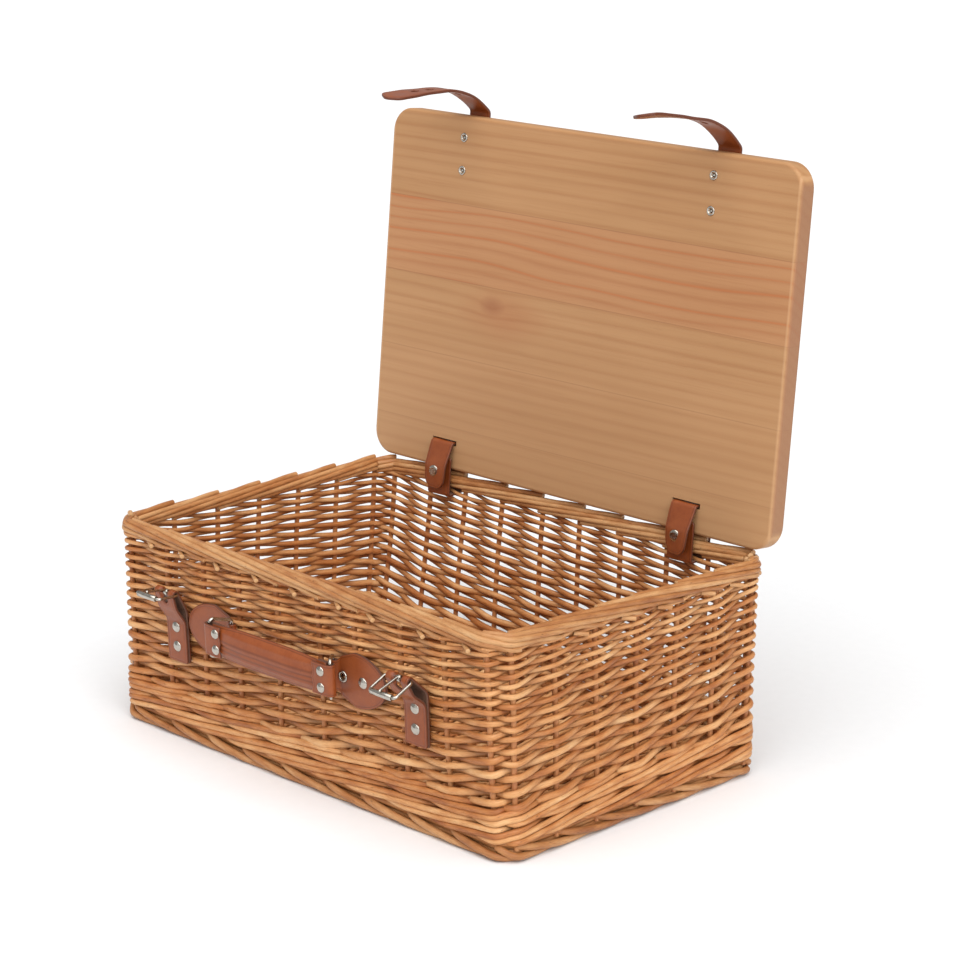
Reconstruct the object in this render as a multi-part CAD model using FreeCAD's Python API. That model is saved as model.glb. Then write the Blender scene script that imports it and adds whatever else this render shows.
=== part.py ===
import FreeCAD, Part
import math
import os

from FreeCAD import Placement, Rotation, Vector

# Wicker picnic hamper with a wooden board lid, leather straps, buckles and a leather carrying handle.
# Millimetres. +Z is up, the front wall faces -Y, and the origin is the centre of the foot on the floor.

# ---- basket body ----
LENGTH_TOP = 460.0           # between the stake lines of the two short walls, at the rim
LENGTH_BOTTOM = 470.0        # the same at the floor: the short walls lean in a little
DEPTH_TOP = 320.0            # between the stake lines of the long walls, at the rim
DEPTH_BOTTOM = 298.0         # the same at the floor: the long walls lean out
BODY_HEIGHT = 190.0
CORNER_TOP = 14.0            # how far each corner is cut off, along each wall
CORNER_BOTTOM = 11.0
FOOT_TOP = 12.0              # foot border, then upsett waling, then weave, then rim border
UPSETT_TOP = 44.0
WEAVE_TOP = 174.0
FOOT_HALF = 7.0              # half thicknesses of the layers, about the stake line
UPSETT_HALF = 7.0
WEAVE_HALF = 5.5
RIM_HALF = 8.0
BASE_LOW = 7.0
BASE_HIGH = 16.0
STAKE_RADIUS = 2.5
STAKE_LOW = 6.0
STAKE_HIGH = 183.0
LONG_GAPS = 9                # stake spacings along a long wall, corner stakes included
SHORT_GAPS = 6
BASE_STICKS = 7
BASE_STICK_RADIUS = 3.0
BASE_STICK_PITCH = 38.0
WEDGE_REACH = 60.0           # how far past the wall the cut between two walls of weave goes

# ---- lid board ----
LID_LENGTH = 481.0
LID_DEPTH = 325.0
LID_THICK = 17.5
LID_CORNER = 22.0
LID_EDGE = 3.0               # rounding of the long outer edges
LID_LEAN = 4.2               # degrees past upright when it stands open
LID_EDGE_Y = 153.0           # lower edge of the inner face when open
LID_EDGE_Z = 192.2
CLOSED_EDGE_Y = 163.0        # the same edge when the lid is shut
CLOSED_EDGE_Z = 190.8
STRAP_X = 147.0              # straps, buckles and hinges sit this far either side of the middle
SLOT_LENGTH = 31.0
SLOT_HEIGHT = 5.0
SLOT_MIDDLE = 25.0           # above the hinge edge of the board
SCREW_DROPS = (19.5, 49.3)   # strap screws, below the free edge of the board
SCREW_RADIUS = 2.0
SCREW_END_RADIUS = 3.3       # flattened screw end on the inner face
SCREW_END_RISE = 0.8

# ---- leather straps ----
STRAP_WIDTH = 25.0
LEATHER = 2.5
ANCHOR_LENGTH = 64.0         # part of a closure strap that is screwed to the board
TAIL_LEAD = 2.5              # height of the strap's fold above the board's free edge
TAIL_ARCS = {                # radius and turn of each stretch of the tail
    "left": ((4.5, 50.0), (75.0, 43.0), (634.0, 6.2)),
    "right": ((4.5, 45.5), (79.0, 39.4), (634.0, 7.5)),
}
HOLE_STEP = 18.0             # between the strap's prong holes
HOLE_RADIUS = 2.6
HOLE_STRETCH = 1.6
HOLE_NUMBERS = (-2, -1, 0, 1)   # hole 0 is the one that the prong goes through when the lid is shut
TIP_ROUND = 14.0
FOLD_GAP = 0.1               # clearance between a strap's fixed part and its tail

# ---- hinge strap loops ----
LEAF_FRONT_Y = 145.4         # middle of the front leaf, inside the basket
LEAF_BACK_Y = 148.2
LEAF_LOW = 177.0
LEAF_HIGH = 197.0
LOOP_LOW = 170.0             # where the loop passes through the back wall
LOOP_BACK_Y = 170.6
LOOP_STAND_OFF = 2.2         # from the board's faces to the middle of the leather
LOOP_ROOM = (1.0, 2.0)       # round the strap in the wall, sideways and up
HINGE_RIVET_Z = 192.5
BURR_RADIUS = 3.0
BURR_RISE = 0.8

# ---- fasteners ----
CAP_RADIUS = 4.5
CAP_RISE = 2.2
SHANK_RADIUS = 1.8
SHANK_DEPTH = 6.0            # how far a wall rivet goes into the weave

# ---- buckles, out and up from the wall's outer face ----
CHAPE_LOW = {"left": 75.0, "right": 78.0}
CHAPE_RISE = 42.0            # from the lower end to the bend
CHAPE_THICK = 5.0
CHAPE_RIVETS = (14.5, 32.0)
BAR_Y = {"left": -175.3, "right": -182.5}
BAR_Z = {"left": 140.0, "right": 138.8}
FRAME_ANGLE = {"left": -2.0, "right": 25.2}   # degrees below level, from the bar to the roller
FRAME_LENGTH = 21.0
FRAME_HALF_WIDTH = 14.7
FRAME_WIRE = 1.3
FRAME_BEND = 3.0
KNUCKLE_RADIUS = 3.6
KNUCKLE_BORE = 1.6
PRONG_SLOT = 7.0             # width of the notch in the fold for the prong's eye
PRONG_SLOT_BEHIND = 5.1      # how far the notch goes past the bar
PRONG_SLOT_BELOW = 5.6
PRONG_WIRE = 1.2
PRONG_EYE = 2.9
PRONG_EYE_BORE = 1.5
PRONG_EYE_WIDTH = 4.4
PRONG_OVERRUN = 0.8
PRONG_GAP = 0.1              # between the resting prong and the roller
CROSSING_STEPS = 400
ROLLER_RADIUS = 2.6
ROLLER_BORE = 1.5
ROLLER_HALF = 11.6

# ---- handle, in the front wall's own frame ----
HANDLE_X = -10.0
HANDLE_Z = 114.5
PAD_HALF_SPAN = 62.5         # from the middle of the handle to each ring's wall bar
PAD_REACH = 59.5             # from the wall bar to the pad's round end
PAD_HALF_HEIGHT = 23.5
PAD_ROUND = 36.0
PAD_NARROW = 0.62            # height at the wall bar, as a share of the full height
PAD_THICK = 3.0
EYELET_OFFSET = 9.5          # outward from the wall bar
EYELET_RADIUS = 4.2
EYELET_BORE = 2.4
EYELET_WALL = 0.7
EYELET_RISE = 0.9
PAD_RIVET_OFFSET = 33.0
RING_WIRE = 1.6
RING_LENGTH = 20.5
RING_HALF_HEIGHT = 16.5
RING_BEND = 3.0
RING_STAND_OFF = 4.5         # from the wall to the wall bar's middle
RING_LEFT_ANGLE = 76.0       # degrees out from the wall
RING_RIGHT_ANGLE = 48.0
RING_LIFT = {"left": 5.5, "right": 3.0}   # how much higher each ring's outer bar sits than its wall bar
PAD_KNUCKLE = 4.0
PAD_KNUCKLE_BORE = 2.0
PAD_KNUCKLE_GAP = 1.4        # between the knuckle's ends and the ring's side wires
GRIP_FOLD = 4.3
GRIP_FOLD_BORE = 2.8
GRIP_END_HALF = 13.7         # half height of the grip at its ends
GRIP_SECTIONS = ((0.0, 13.7, 2.8), (13.0, 13.7, 3.0), (25.0, 15.0, 4.8), (44.0, 16.0, 6.2))
GRIP_FLAP = 18.0
GRIP_FLAP_THICK = 2.2
GRIP_EASE = 0.55             # bevel of the grip's long edges, as a share of its half thickness
GRIP_CAP_RADIUS = 4.1
GRIP_SHANK_DEPTH = 4.0
GRIP_RIVET_IN = {"left": 11.5, "right": 7.0}
GRIP_RIVET_HALF = 7.0

SIDES = {"left": -1, "right": 1}
WALL_TILT = math.degrees(math.atan((DEPTH_TOP - DEPTH_BOTTOM) / 2 / BODY_HEIGHT))

nodes = {}


# ---- small helpers ----
def vec(x, y, z):
    return Vector(x, y, z)


def rod(start, end, radius):
    line = end - start
    return Part.makeCylinder(radius, line.Length, start, line)


def block(x0, x1, y0, y1, z0, z1):
    return Part.makeBox(x1 - x0, y1 - y0, z1 - z0, vec(x0, y0, z0))


def fuse(shapes):
    joined = shapes[0].multiFuse(shapes[1:]) if len(shapes) > 1 else shapes[0]
    return joined.removeSplitter()


def rounded_loop(corners, bend, radius):
    """A round wire along a closed outline, with each corner turned by an arc."""
    start = (corners[-1] + corners[0]) * 0.5
    edges = []
    last = start
    for k, here in enumerate(corners):
        to_last = (corners[k - 1] - here).normalize()
        to_next = (corners[(k + 1) % len(corners)] - here).normalize()
        half_angle = to_last.getAngle(to_next) / 2
        arc_start = here + to_last * (bend / math.tan(half_angle))
        arc_end = here + to_next * (bend / math.tan(half_angle))
        inward = (to_last + to_next).normalize()
        arc_middle = here + inward * (bend / math.sin(half_angle) - bend)
        edges.append(Part.LineSegment(last, arc_start).toShape())
        edges.append(Part.Arc(arc_start, arc_middle, arc_end).toShape())
        last = arc_end
    edges.append(Part.LineSegment(last, start).toShape())
    profile = Part.Wire([Part.Circle(start, corners[0] - corners[-1], radius).toShape()])
    return Part.Wire(edges).makePipeShell([profile], True, True)


def strip(points, thickness, x_low, x_high):
    """A leather strip along a path in the YZ plane, as wide as x_low to x_high."""
    solids = []
    for a, b in zip(points, points[1:]):
        length = math.hypot(b[0] - a[0], b[1] - a[1])
        piece = Part.makeBox(x_high - x_low, length, thickness, vec(x_low, 0, -thickness / 2))
        turn = math.degrees(math.atan2(b[1] - a[1], b[0] - a[0]))
        place = Placement(vec(0, a[0], a[1]), Rotation(vec(1, 0, 0), turn))
        piece.Placement = place.multiply(piece.Placement)
        solids.append(piece)
    for y, z in points[1:-1]:
        solids.append(rod(vec(x_low, y, z), vec(x_high, y, z), thickness / 2))
    return fuse(solids)


def dome(radius, rise):
    """A low round cap that stands on the XY plane and bulges towards +Z."""
    sphere_radius = (radius * radius + rise * rise) / (2 * rise)
    ball = Part.makeSphere(sphere_radius, vec(0, 0, rise - sphere_radius))
    return ball.common(Part.makeCylinder(radius, rise))


def rivet(radius, rise, shank, depth):
    """A capped rivet: the cap stands on the XY plane and the shank goes down from it."""
    return fuse([dome(radius, rise), Part.makeCylinder(shank, depth, vec(0, 0, -depth))])


def outward(shape, x, y, z):
    """Turns a shape that points to +Z so that it points to -Y, and sets it down at a place."""
    shape = shape.copy()
    shape.Placement = Placement(vec(x, y, z), Rotation(vec(1, 0, 0), 90))
    return shape


# ---- the walls ----
def length_at(z):
    return LENGTH_BOTTOM + (LENGTH_TOP - LENGTH_BOTTOM) * z / BODY_HEIGHT


def depth_at(z):
    return DEPTH_BOTTOM + (DEPTH_TOP - DEPTH_BOTTOM) * z / BODY_HEIGHT


def corner_at(z):
    return CORNER_BOTTOM + (CORNER_TOP - CORNER_BOTTOM) * z / BODY_HEIGHT


def outline(z, grow):
    """The wall line at a height, as a rectangle with cut corners, moved outward by grow."""
    half_x = length_at(z) / 2 + grow
    half_y = depth_at(z) / 2 + grow
    cut = corner_at(z) + grow * (2 - math.sqrt(2))
    quarter = [(half_x, half_y - cut), (half_x - cut, half_y)]
    points = quarter + [(-x, y) for x, y in reversed(quarter)]
    points += [(-x, -y) for x, y in points]
    return Part.makePolygon([vec(x, y, z) for x, y in points + points[:1]])


def column(z0, z1, grow):
    return Part.makeLoft([outline(z0, grow), outline(z1, grow)], True, True)


def ring(z0, z1, half):
    return column(z0, z1, half).cut(column(z0, z1, -half))


def wall_y(z):
    """The front wall's outer face, at a height."""
    return -(depth_at(z) / 2 + WEAVE_HALF)


def wall_frame(x, z):
    """A place on the front wall: local -Y points out of the wall and local Z runs up it."""
    return Placement(vec(x, wall_y(z), z), Rotation(vec(1, 0, 0), WALL_TILT))


def on_wall(shape, x, z):
    shape = shape.copy()
    shape.Placement = wall_frame(x, z).multiply(shape.Placement)
    return shape


def stake(wall, sign, share):
    """One upright stake of a wall, at a share of the way from the wall's middle to its end."""
    ends = []
    for z in (STAKE_LOW, STAKE_HIGH):
        half_x = length_at(z) / 2
        half_y = depth_at(z) / 2
        if wall == "long":
            ends.append(vec(share * (half_x - corner_at(z)), sign * half_y, z))
        else:
            ends.append(vec(sign * half_x, share * (half_y - corner_at(z)), z))
    return rod(ends[0], ends[1], STAKE_RADIUS)


def stakes():
    """All upright stakes, grouped by wall."""
    groups = {"front": [], "back": [], "left": [], "right": [], "corner": []}
    walls = (("front", "long", -1, LONG_GAPS), ("back", "long", 1, LONG_GAPS),
             ("left", "short", -1, SHORT_GAPS), ("right", "short", 1, SHORT_GAPS))
    for name, wall, sign, gaps in walls:
        for k in range(gaps + 1):
            group = "corner" if k in (0, gaps) else name
            groups[group].append(stake(wall, sign, 2 * k / gaps - 1))
    return groups


def wall_wedge(sign):
    """The region of the long wall on one side, cut off at 45 degrees through the corners."""
    mid_x = (LENGTH_TOP - CORNER_TOP) / 2
    mid_y = (DEPTH_TOP - CORNER_TOP) / 2
    points = []
    for x, step in ((-mid_x, -1), (mid_x, 1)):
        outer = vec(x + step * WEDGE_REACH, sign * (mid_y + WEDGE_REACH), 0)
        inner = vec(x - step * WEDGE_REACH, sign * (mid_y - WEDGE_REACH), 0)
        points += [outer, inner] if step < 0 else [inner, outer]
    face = Part.Face(Part.makePolygon(points + points[:1]))
    return face.extrude(vec(0, 0, BODY_HEIGHT))


def make_walls():
    groups = stakes()
    all_stakes = Part.makeCompound([s for group in groups.values() for s in group])
    for name, group in groups.items():
        nodes[f"stakes_{name}"] = Part.makeCompound(group)

    foot = ring(0, FOOT_TOP, FOOT_HALF)
    upsett = ring(FOOT_TOP, UPSETT_TOP, UPSETT_HALF)
    rim = ring(WEAVE_TOP, BODY_HEIGHT, RIM_HALF)
    nodes["foot_border"] = foot.cut(all_stakes)
    nodes["upsett_waling"] = upsett.cut(all_stakes)
    nodes["rim_border"] = rim.cut(all_stakes)

    weave = ring(UPSETT_TOP, WEAVE_TOP, WEAVE_HALF).cut(all_stakes)
    front = wall_wedge(-1)
    back = wall_wedge(1)
    left_half = block(-LENGTH_BOTTOM, 0, -DEPTH_TOP, DEPTH_TOP, 0, BODY_HEIGHT)
    ends = weave.cut(front).cut(back)
    nodes["weave_front"] = weave.common(front)
    nodes["weave_back"] = weave.common(back)
    nodes["weave_left"] = ends.common(left_half)
    nodes["weave_right"] = ends.cut(left_half)


def make_base():
    plate = column(BASE_LOW, BASE_HIGH, -UPSETT_HALF)
    middle = (BASE_LOW + BASE_HIGH) / 2
    reach = length_at(BASE_HIGH) / 2 - UPSETT_HALF
    rods = []
    for k in range(BASE_STICKS):
        y = (k - (BASE_STICKS - 1) / 2) * BASE_STICK_PITCH
        rods.append(rod(vec(-reach, y, middle), vec(reach, y, middle), BASE_STICK_RADIUS))
    sticks = Part.makeCompound(rods)
    nodes["base_weave"] = plate.cut(sticks)
    nodes["base_sticks"] = sticks


# ---- the lid ----
def lid_frame():
    """The open board: local Y goes through it from the inner face, local Z up it from its hinge edge."""
    return Placement(vec(0, LID_EDGE_Y, LID_EDGE_Z), Rotation(vec(1, 0, 0), -LID_LEAN))


def lid_pivot():
    """The point that the lid turns about, from the open and the closed place of its hinge edge."""
    turn = math.radians(90 + LID_LEAN)
    dy = CLOSED_EDGE_Y - LID_EDGE_Y
    dz = CLOSED_EDGE_Z - LID_EDGE_Z
    lever = 1 / (2 * math.tan(turn / 2))
    return (LID_EDGE_Y + dy / 2 - dz * lever, LID_EDGE_Z + dz / 2 + dy * lever)


def on_lid(shape):
    shape = shape.copy()
    shape.Placement = lid_frame().multiply(shape.Placement)
    return shape


def screw_places():
    return [(SIDES[side] * STRAP_X, LID_DEPTH - drop) for side in SIDES for drop in SCREW_DROPS]


def make_lid():
    half = LID_LENGTH / 2
    board = block(-half, half, 0, LID_THICK, 0, LID_DEPTH)
    uprights = [e for e in board.Edges if abs(e.tangentAt(e.FirstParameter).y) > 0.9]
    board = board.makeFillet(LID_CORNER, uprights)
    rims = [e for e in board.Edges if abs(e.tangentAt(e.FirstParameter).y) < 0.1]
    board = board.makeFillet(LID_EDGE, rims)
    for side in SIDES.values():
        x0 = side * STRAP_X - SLOT_LENGTH / 2
        board = board.cut(block(x0, x0 + SLOT_LENGTH, -1, LID_THICK + 1,
                                SLOT_MIDDLE - SLOT_HEIGHT / 2, SLOT_MIDDLE + SLOT_HEIGHT / 2))
    screws = []
    through = LID_THICK + LEATHER
    for x, z in screw_places():
        shank = rod(vec(x, -SCREW_END_RISE, z), vec(x, through, z), SCREW_RADIUS)
        head = dome(CAP_RADIUS, CAP_RISE)
        head.Placement = Placement(vec(x, through, z), Rotation(vec(1, 0, 0), -90))
        end = rod(vec(x, -SCREW_END_RISE, z), vec(x, 0, z), SCREW_END_RADIUS)
        board = board.cut(rod(vec(x, -1, z), vec(x, LID_THICK + 1, z), SCREW_RADIUS))
        screws.append(fuse([shank, head, end]))
    nodes["lid_board"] = on_lid(board)
    nodes["strap_screws"] = on_lid(Part.makeCompound(screws))


def tail_point(side, distance):
    """Middle line of a closure strap's free tail, in the board's frame, with its heading."""
    y = LID_THICK + LEATHER / 2
    z = LID_DEPTH + TAIL_LEAD
    heading = 0.0
    for radius, turn in TAIL_ARCS[side]:
        length = math.radians(turn) * radius
        part = min(distance, length) / radius
        y -= radius * (math.cos(heading) - math.cos(heading + part))
        z += radius * (math.sin(heading + part) - math.sin(heading))
        heading += part
        distance -= min(distance, length)
    return y, z, heading


def tail_length(side):
    return sum(math.radians(turn) * radius for radius, turn in TAIL_ARCS[side])


def prong_slope():
    """How the prong rises from the bar's eye to lie on the roller: start height and slope."""
    start = PRONG_EYE - PRONG_WIRE
    over_roller = ROLLER_RADIUS + PRONG_WIRE + PRONG_GAP
    return start, (over_roller - start) / FRAME_LENGTH


def prong_crossing(side):
    """Distance along the tail at which the prong crosses the strap when the lid is shut."""
    angle = math.radians(FRAME_ANGLE[side])
    start, slope = prong_slope()
    misses = []
    for k in range(CROSSING_STEPS):
        distance = tail_length(side) * k / CROSSING_STEPS
        y, z, _ = tail_point(side, distance)
        out = BAR_Y[side] - (CLOSED_EDGE_Y - z)
        up = CLOSED_EDGE_Z + y - BAR_Z[side]
        along = out * math.cos(angle) - up * math.sin(angle)
        above = out * math.sin(angle) + up * math.cos(angle)
        misses.append((abs(above - start - slope * along), distance))
    return min(misses)[1]


def strap_hole(side, x, distance):
    """An oval prong hole, square to the strap."""
    y, z, heading = tail_point(side, distance)
    depth = 2 * LEATHER
    pieces = [block(-HOLE_RADIUS, HOLE_RADIUS, -HOLE_STRETCH, HOLE_STRETCH, -depth, depth)]
    for shift in (-HOLE_STRETCH, HOLE_STRETCH):
        pieces.append(Part.makeCylinder(HOLE_RADIUS, 2 * depth, vec(0, shift, -depth)))
    hole = fuse(pieces)
    hole.Placement = Placement(vec(x, y, z), Rotation(vec(1, 0, 0), 90 + math.degrees(heading)))
    return hole


def tail_side(side, x, distance, face):
    """A point on one face of the strap's tail."""
    y, z, heading = tail_point(side, distance)
    half = face * LEATHER / 2
    return vec(x, y - half * math.cos(heading), z - half * math.sin(heading))


def tail_stretch(side, x, start, length):
    """One evenly curved stretch of the tail, from its left edge at x."""
    edges = []
    for face in (-1, 1):
        on_face = [tail_side(side, x, start + share * length, face) for share in (0, 0.5, 1)]
        edges.append(Part.Arc(*on_face).toShape())
    for at in (start, start + length):
        edges.append(Part.LineSegment(tail_side(side, x, at, -1), tail_side(side, x, at, 1)).toShape())
    wire = Part.Wire(Part.sortEdges(edges)[0])
    return Part.Face(wire).extrude(vec(STRAP_WIDTH, 0, 0))


def tip_waste(side, x):
    """What is cut away outside the tail's rounded tip."""
    y, z, heading = tail_point(side, tail_length(side))
    start = -TIP_ROUND / 2
    depth = 4 * LEATHER
    waste = block(-STRAP_WIDTH, STRAP_WIDTH, start, STRAP_WIDTH, -depth, depth)
    waste = waste.cut(Part.makeCylinder(TIP_ROUND, 2 * depth, vec(0, -TIP_ROUND, -depth)))
    waste = waste.cut(block(-STRAP_WIDTH, STRAP_WIDTH, -STRAP_WIDTH, start, -depth, depth))
    waste.Placement = Placement(vec(x, y, z), Rotation(vec(1, 0, 0), 90 + math.degrees(heading)))
    return waste


def make_closure_straps():
    half = STRAP_WIDTH / 2
    for side, sign in SIDES.items():
        x = sign * STRAP_X
        fold_y, fold_z, _ = tail_point(side, 0.0)
        anchor = block(x - half, x + half, LID_THICK, LID_THICK + LEATHER,
                       LID_DEPTH - ANCHOR_LENGTH, fold_z - LEATHER / 2 - FOLD_GAP)
        for sx, sz in screw_places():
            bore = rod(vec(sx, 0, sz), vec(sx, LID_THICK + 2 * LEATHER, sz), SCREW_RADIUS)
            anchor = anchor.cut(bore)
        nodes[f"closure_strap_{side}_anchor"] = on_lid(anchor)

        pieces = [rod(vec(x - half, fold_y, fold_z), vec(x + half, fold_y, fold_z), LEATHER / 2)]
        start = 0.0
        for radius, turn in TAIL_ARCS[side]:
            length = math.radians(turn) * radius
            pieces.append(tail_stretch(side, x - half, start, length))
            start += length
        tail = fuse(pieces)
        for k in HOLE_NUMBERS:
            tail = tail.cut(strap_hole(side, x, prong_crossing(side) + k * HOLE_STEP))
        nodes[f"closure_strap_{side}"] = on_lid(tail.cut(tip_waste(side, x)))


# ---- hinge straps ----
def make_hinge_straps():
    half = STRAP_WIDTH / 2
    frame = lid_frame()
    behind = LID_THICK + LOOP_STAND_OFF
    round_board = [frame.multVec(vec(0, y, z)) for y, z in
                   ((-LOOP_STAND_OFF, SLOT_MIDDLE), (behind, SLOT_MIDDLE), (behind, 0))]
    path = [(LEAF_FRONT_Y, LEAF_LOW), (LEAF_FRONT_Y, LEAF_HIGH)]
    path += [(point.y, point.z) for point in round_board]
    path += [(LOOP_BACK_Y, LOOP_LOW), (LEAF_BACK_Y, LOOP_LOW), (LEAF_BACK_Y, LEAF_HIGH)]
    front = LEAF_FRONT_Y - LEATHER / 2
    back = LEAF_BACK_Y + LEATHER / 2
    room_x, room_z = LOOP_ROOM
    rivets = []
    for side, sign in SIDES.items():
        x = sign * STRAP_X
        shank = rod(vec(x, front, HINGE_RIVET_Z), vec(x, back, HINGE_RIVET_Z), SHANK_RADIUS)
        cap = outward(dome(CAP_RADIUS, CAP_RISE), x, front, HINGE_RIVET_Z)
        burr = rod(vec(x, back, HINGE_RIVET_Z), vec(x, back + BURR_RISE, HINGE_RIVET_Z), BURR_RADIUS)
        rivets.append(fuse([shank, cap, burr]))
        loop = strip(path, LEATHER, x - half, x + half)
        nodes[f"hinge_strap_{side}"] = loop.cut(shank)
        passage = block(x - half - room_x, x + half + room_x, LEAF_BACK_Y, LOOP_BACK_Y,
                        LOOP_LOW - room_z, LOOP_LOW + room_z)
        nodes["weave_back"] = nodes["weave_back"].cut(passage)
    nodes["hinge_strap_rivets"] = Part.makeCompound(rivets)


# ---- buckles ----
def buckle_frame_placement(side):
    """Local X along the bar, local -Y from the bar to the roller, local Z on the prong's side."""
    x = SIDES[side] * STRAP_X
    return Placement(vec(x, BAR_Y[side], BAR_Z[side]), Rotation(vec(1, 0, 0), FRAME_ANGLE[side]))


def make_buckle(side):
    place = buckle_frame_placement(side)
    half = FRAME_HALF_WIDTH
    axle = -FRAME_LENGTH
    corners = [vec(-half, 0, 0), vec(half, 0, 0), vec(half, axle, 0), vec(-half, axle, 0)]
    frame = rounded_loop(corners, FRAME_BEND, FRAME_WIRE)
    roller = rod(vec(-ROLLER_HALF, axle, 0), vec(ROLLER_HALF, axle, 0), ROLLER_RADIUS)
    roller = roller.cut(rod(vec(-half, axle, 0), vec(half, axle, 0), ROLLER_BORE))

    eye_half = PRONG_EYE_WIDTH / 2
    rise, slope = prong_slope()
    start = vec(0, 0, rise)
    end = vec(0, axle - PRONG_OVERRUN, rise + slope * (FRAME_LENGTH + PRONG_OVERRUN))
    eye = rod(vec(-eye_half, 0, 0), vec(eye_half, 0, 0), PRONG_EYE)
    prong = fuse([eye, rod(start, end, PRONG_WIRE), Part.makeSphere(PRONG_WIRE, end)])
    prong = prong.cut(rod(vec(-half, 0, 0), vec(half, 0, 0), PRONG_EYE_BORE))

    for name, shape in (("frame", frame), ("roller", roller), ("prong", prong)):
        shape.Placement = place.multiply(shape.Placement)
        nodes[f"buckle_{name}_{side}"] = shape


def make_chape(side):
    """The folded strap that holds a buckle: flat on the wall, then out and up to the bar."""
    x = SIDES[side] * STRAP_X
    half = STRAP_WIDTH / 2
    low = CHAPE_LOW[side]
    bend = low + CHAPE_RISE
    tilt = math.radians(WALL_TILT)
    flat = block(-half, half, -CHAPE_THICK, 0, 0, CHAPE_RISE / math.cos(tilt))
    flat = on_wall(flat, x, low)
    bar = (BAR_Y[side], BAR_Z[side])
    root = (wall_y(bend) - CHAPE_THICK / 2 / math.cos(tilt), bend)
    stem = strip([root, bar], CHAPE_THICK, x - half, x + half)
    knee = rod(vec(x - half, root[0], root[1]), vec(x + half, root[0], root[1]), CHAPE_THICK / 2)
    knuckle = rod(vec(x - half, *bar), vec(x + half, *bar), KNUCKLE_RADIUS)
    chape = fuse([flat, knee, stem, knuckle])
    chape = chape.cut(rod(vec(x - half - 1, *bar), vec(x + half + 1, *bar), KNUCKLE_BORE))
    notch = block(-PRONG_SLOT / 2, PRONG_SLOT / 2, -2 * KNUCKLE_RADIUS, PRONG_SLOT_BEHIND,
                  -PRONG_SLOT_BELOW, 2 * KNUCKLE_RADIUS)
    notch.Placement = buckle_frame_placement(side)
    chape = chape.cut(notch)
    caps = []
    for rise in CHAPE_RIVETS:
        pin = rivet(CAP_RADIUS, CAP_RISE, SHANK_RADIUS, CHAPE_THICK + SHANK_DEPTH)
        pin = on_wall(outward(pin, 0, -CHAPE_THICK, 0), x, low + rise)
        chape = chape.cut(pin)
        nodes["weave_front"] = nodes["weave_front"].cut(pin)
        caps.append(pin)
    nodes[f"buckle_chape_{side}"] = chape
    return caps


# ---- handle ----
def ring_points():
    """Wall bars and outer bars of the two rings, in the handle's own frame on the wall."""
    left = math.radians(RING_LEFT_ANGLE)
    right = math.radians(RING_RIGHT_ANGLE)
    a = vec(-PAD_HALF_SPAN, -RING_STAND_OFF, 0)
    d = vec(PAD_HALF_SPAN, -RING_STAND_OFF, 0)
    b = a + vec(-RING_LENGTH * math.cos(left), -RING_LENGTH * math.sin(left), RING_LIFT["left"])
    c = d + vec(RING_LENGTH * math.cos(right), -RING_LENGTH * math.sin(right), RING_LIFT["right"])
    return a, b, c, d


def on_handle(shape):
    return on_wall(shape, HANDLE_X, HANDLE_Z)


def upright(point, half, radius):
    return rod(point - vec(0, 0, half), point + vec(0, 0, half), radius)


def make_ring(side, wall_bar, outer_bar):
    rise = vec(0, 0, RING_HALF_HEIGHT)
    corners = [wall_bar - rise, wall_bar + rise, outer_bar + rise, outer_bar - rise]
    nodes[f"handle_ring_{side}"] = on_handle(rounded_loop(corners, RING_BEND, RING_WIRE))


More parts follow.
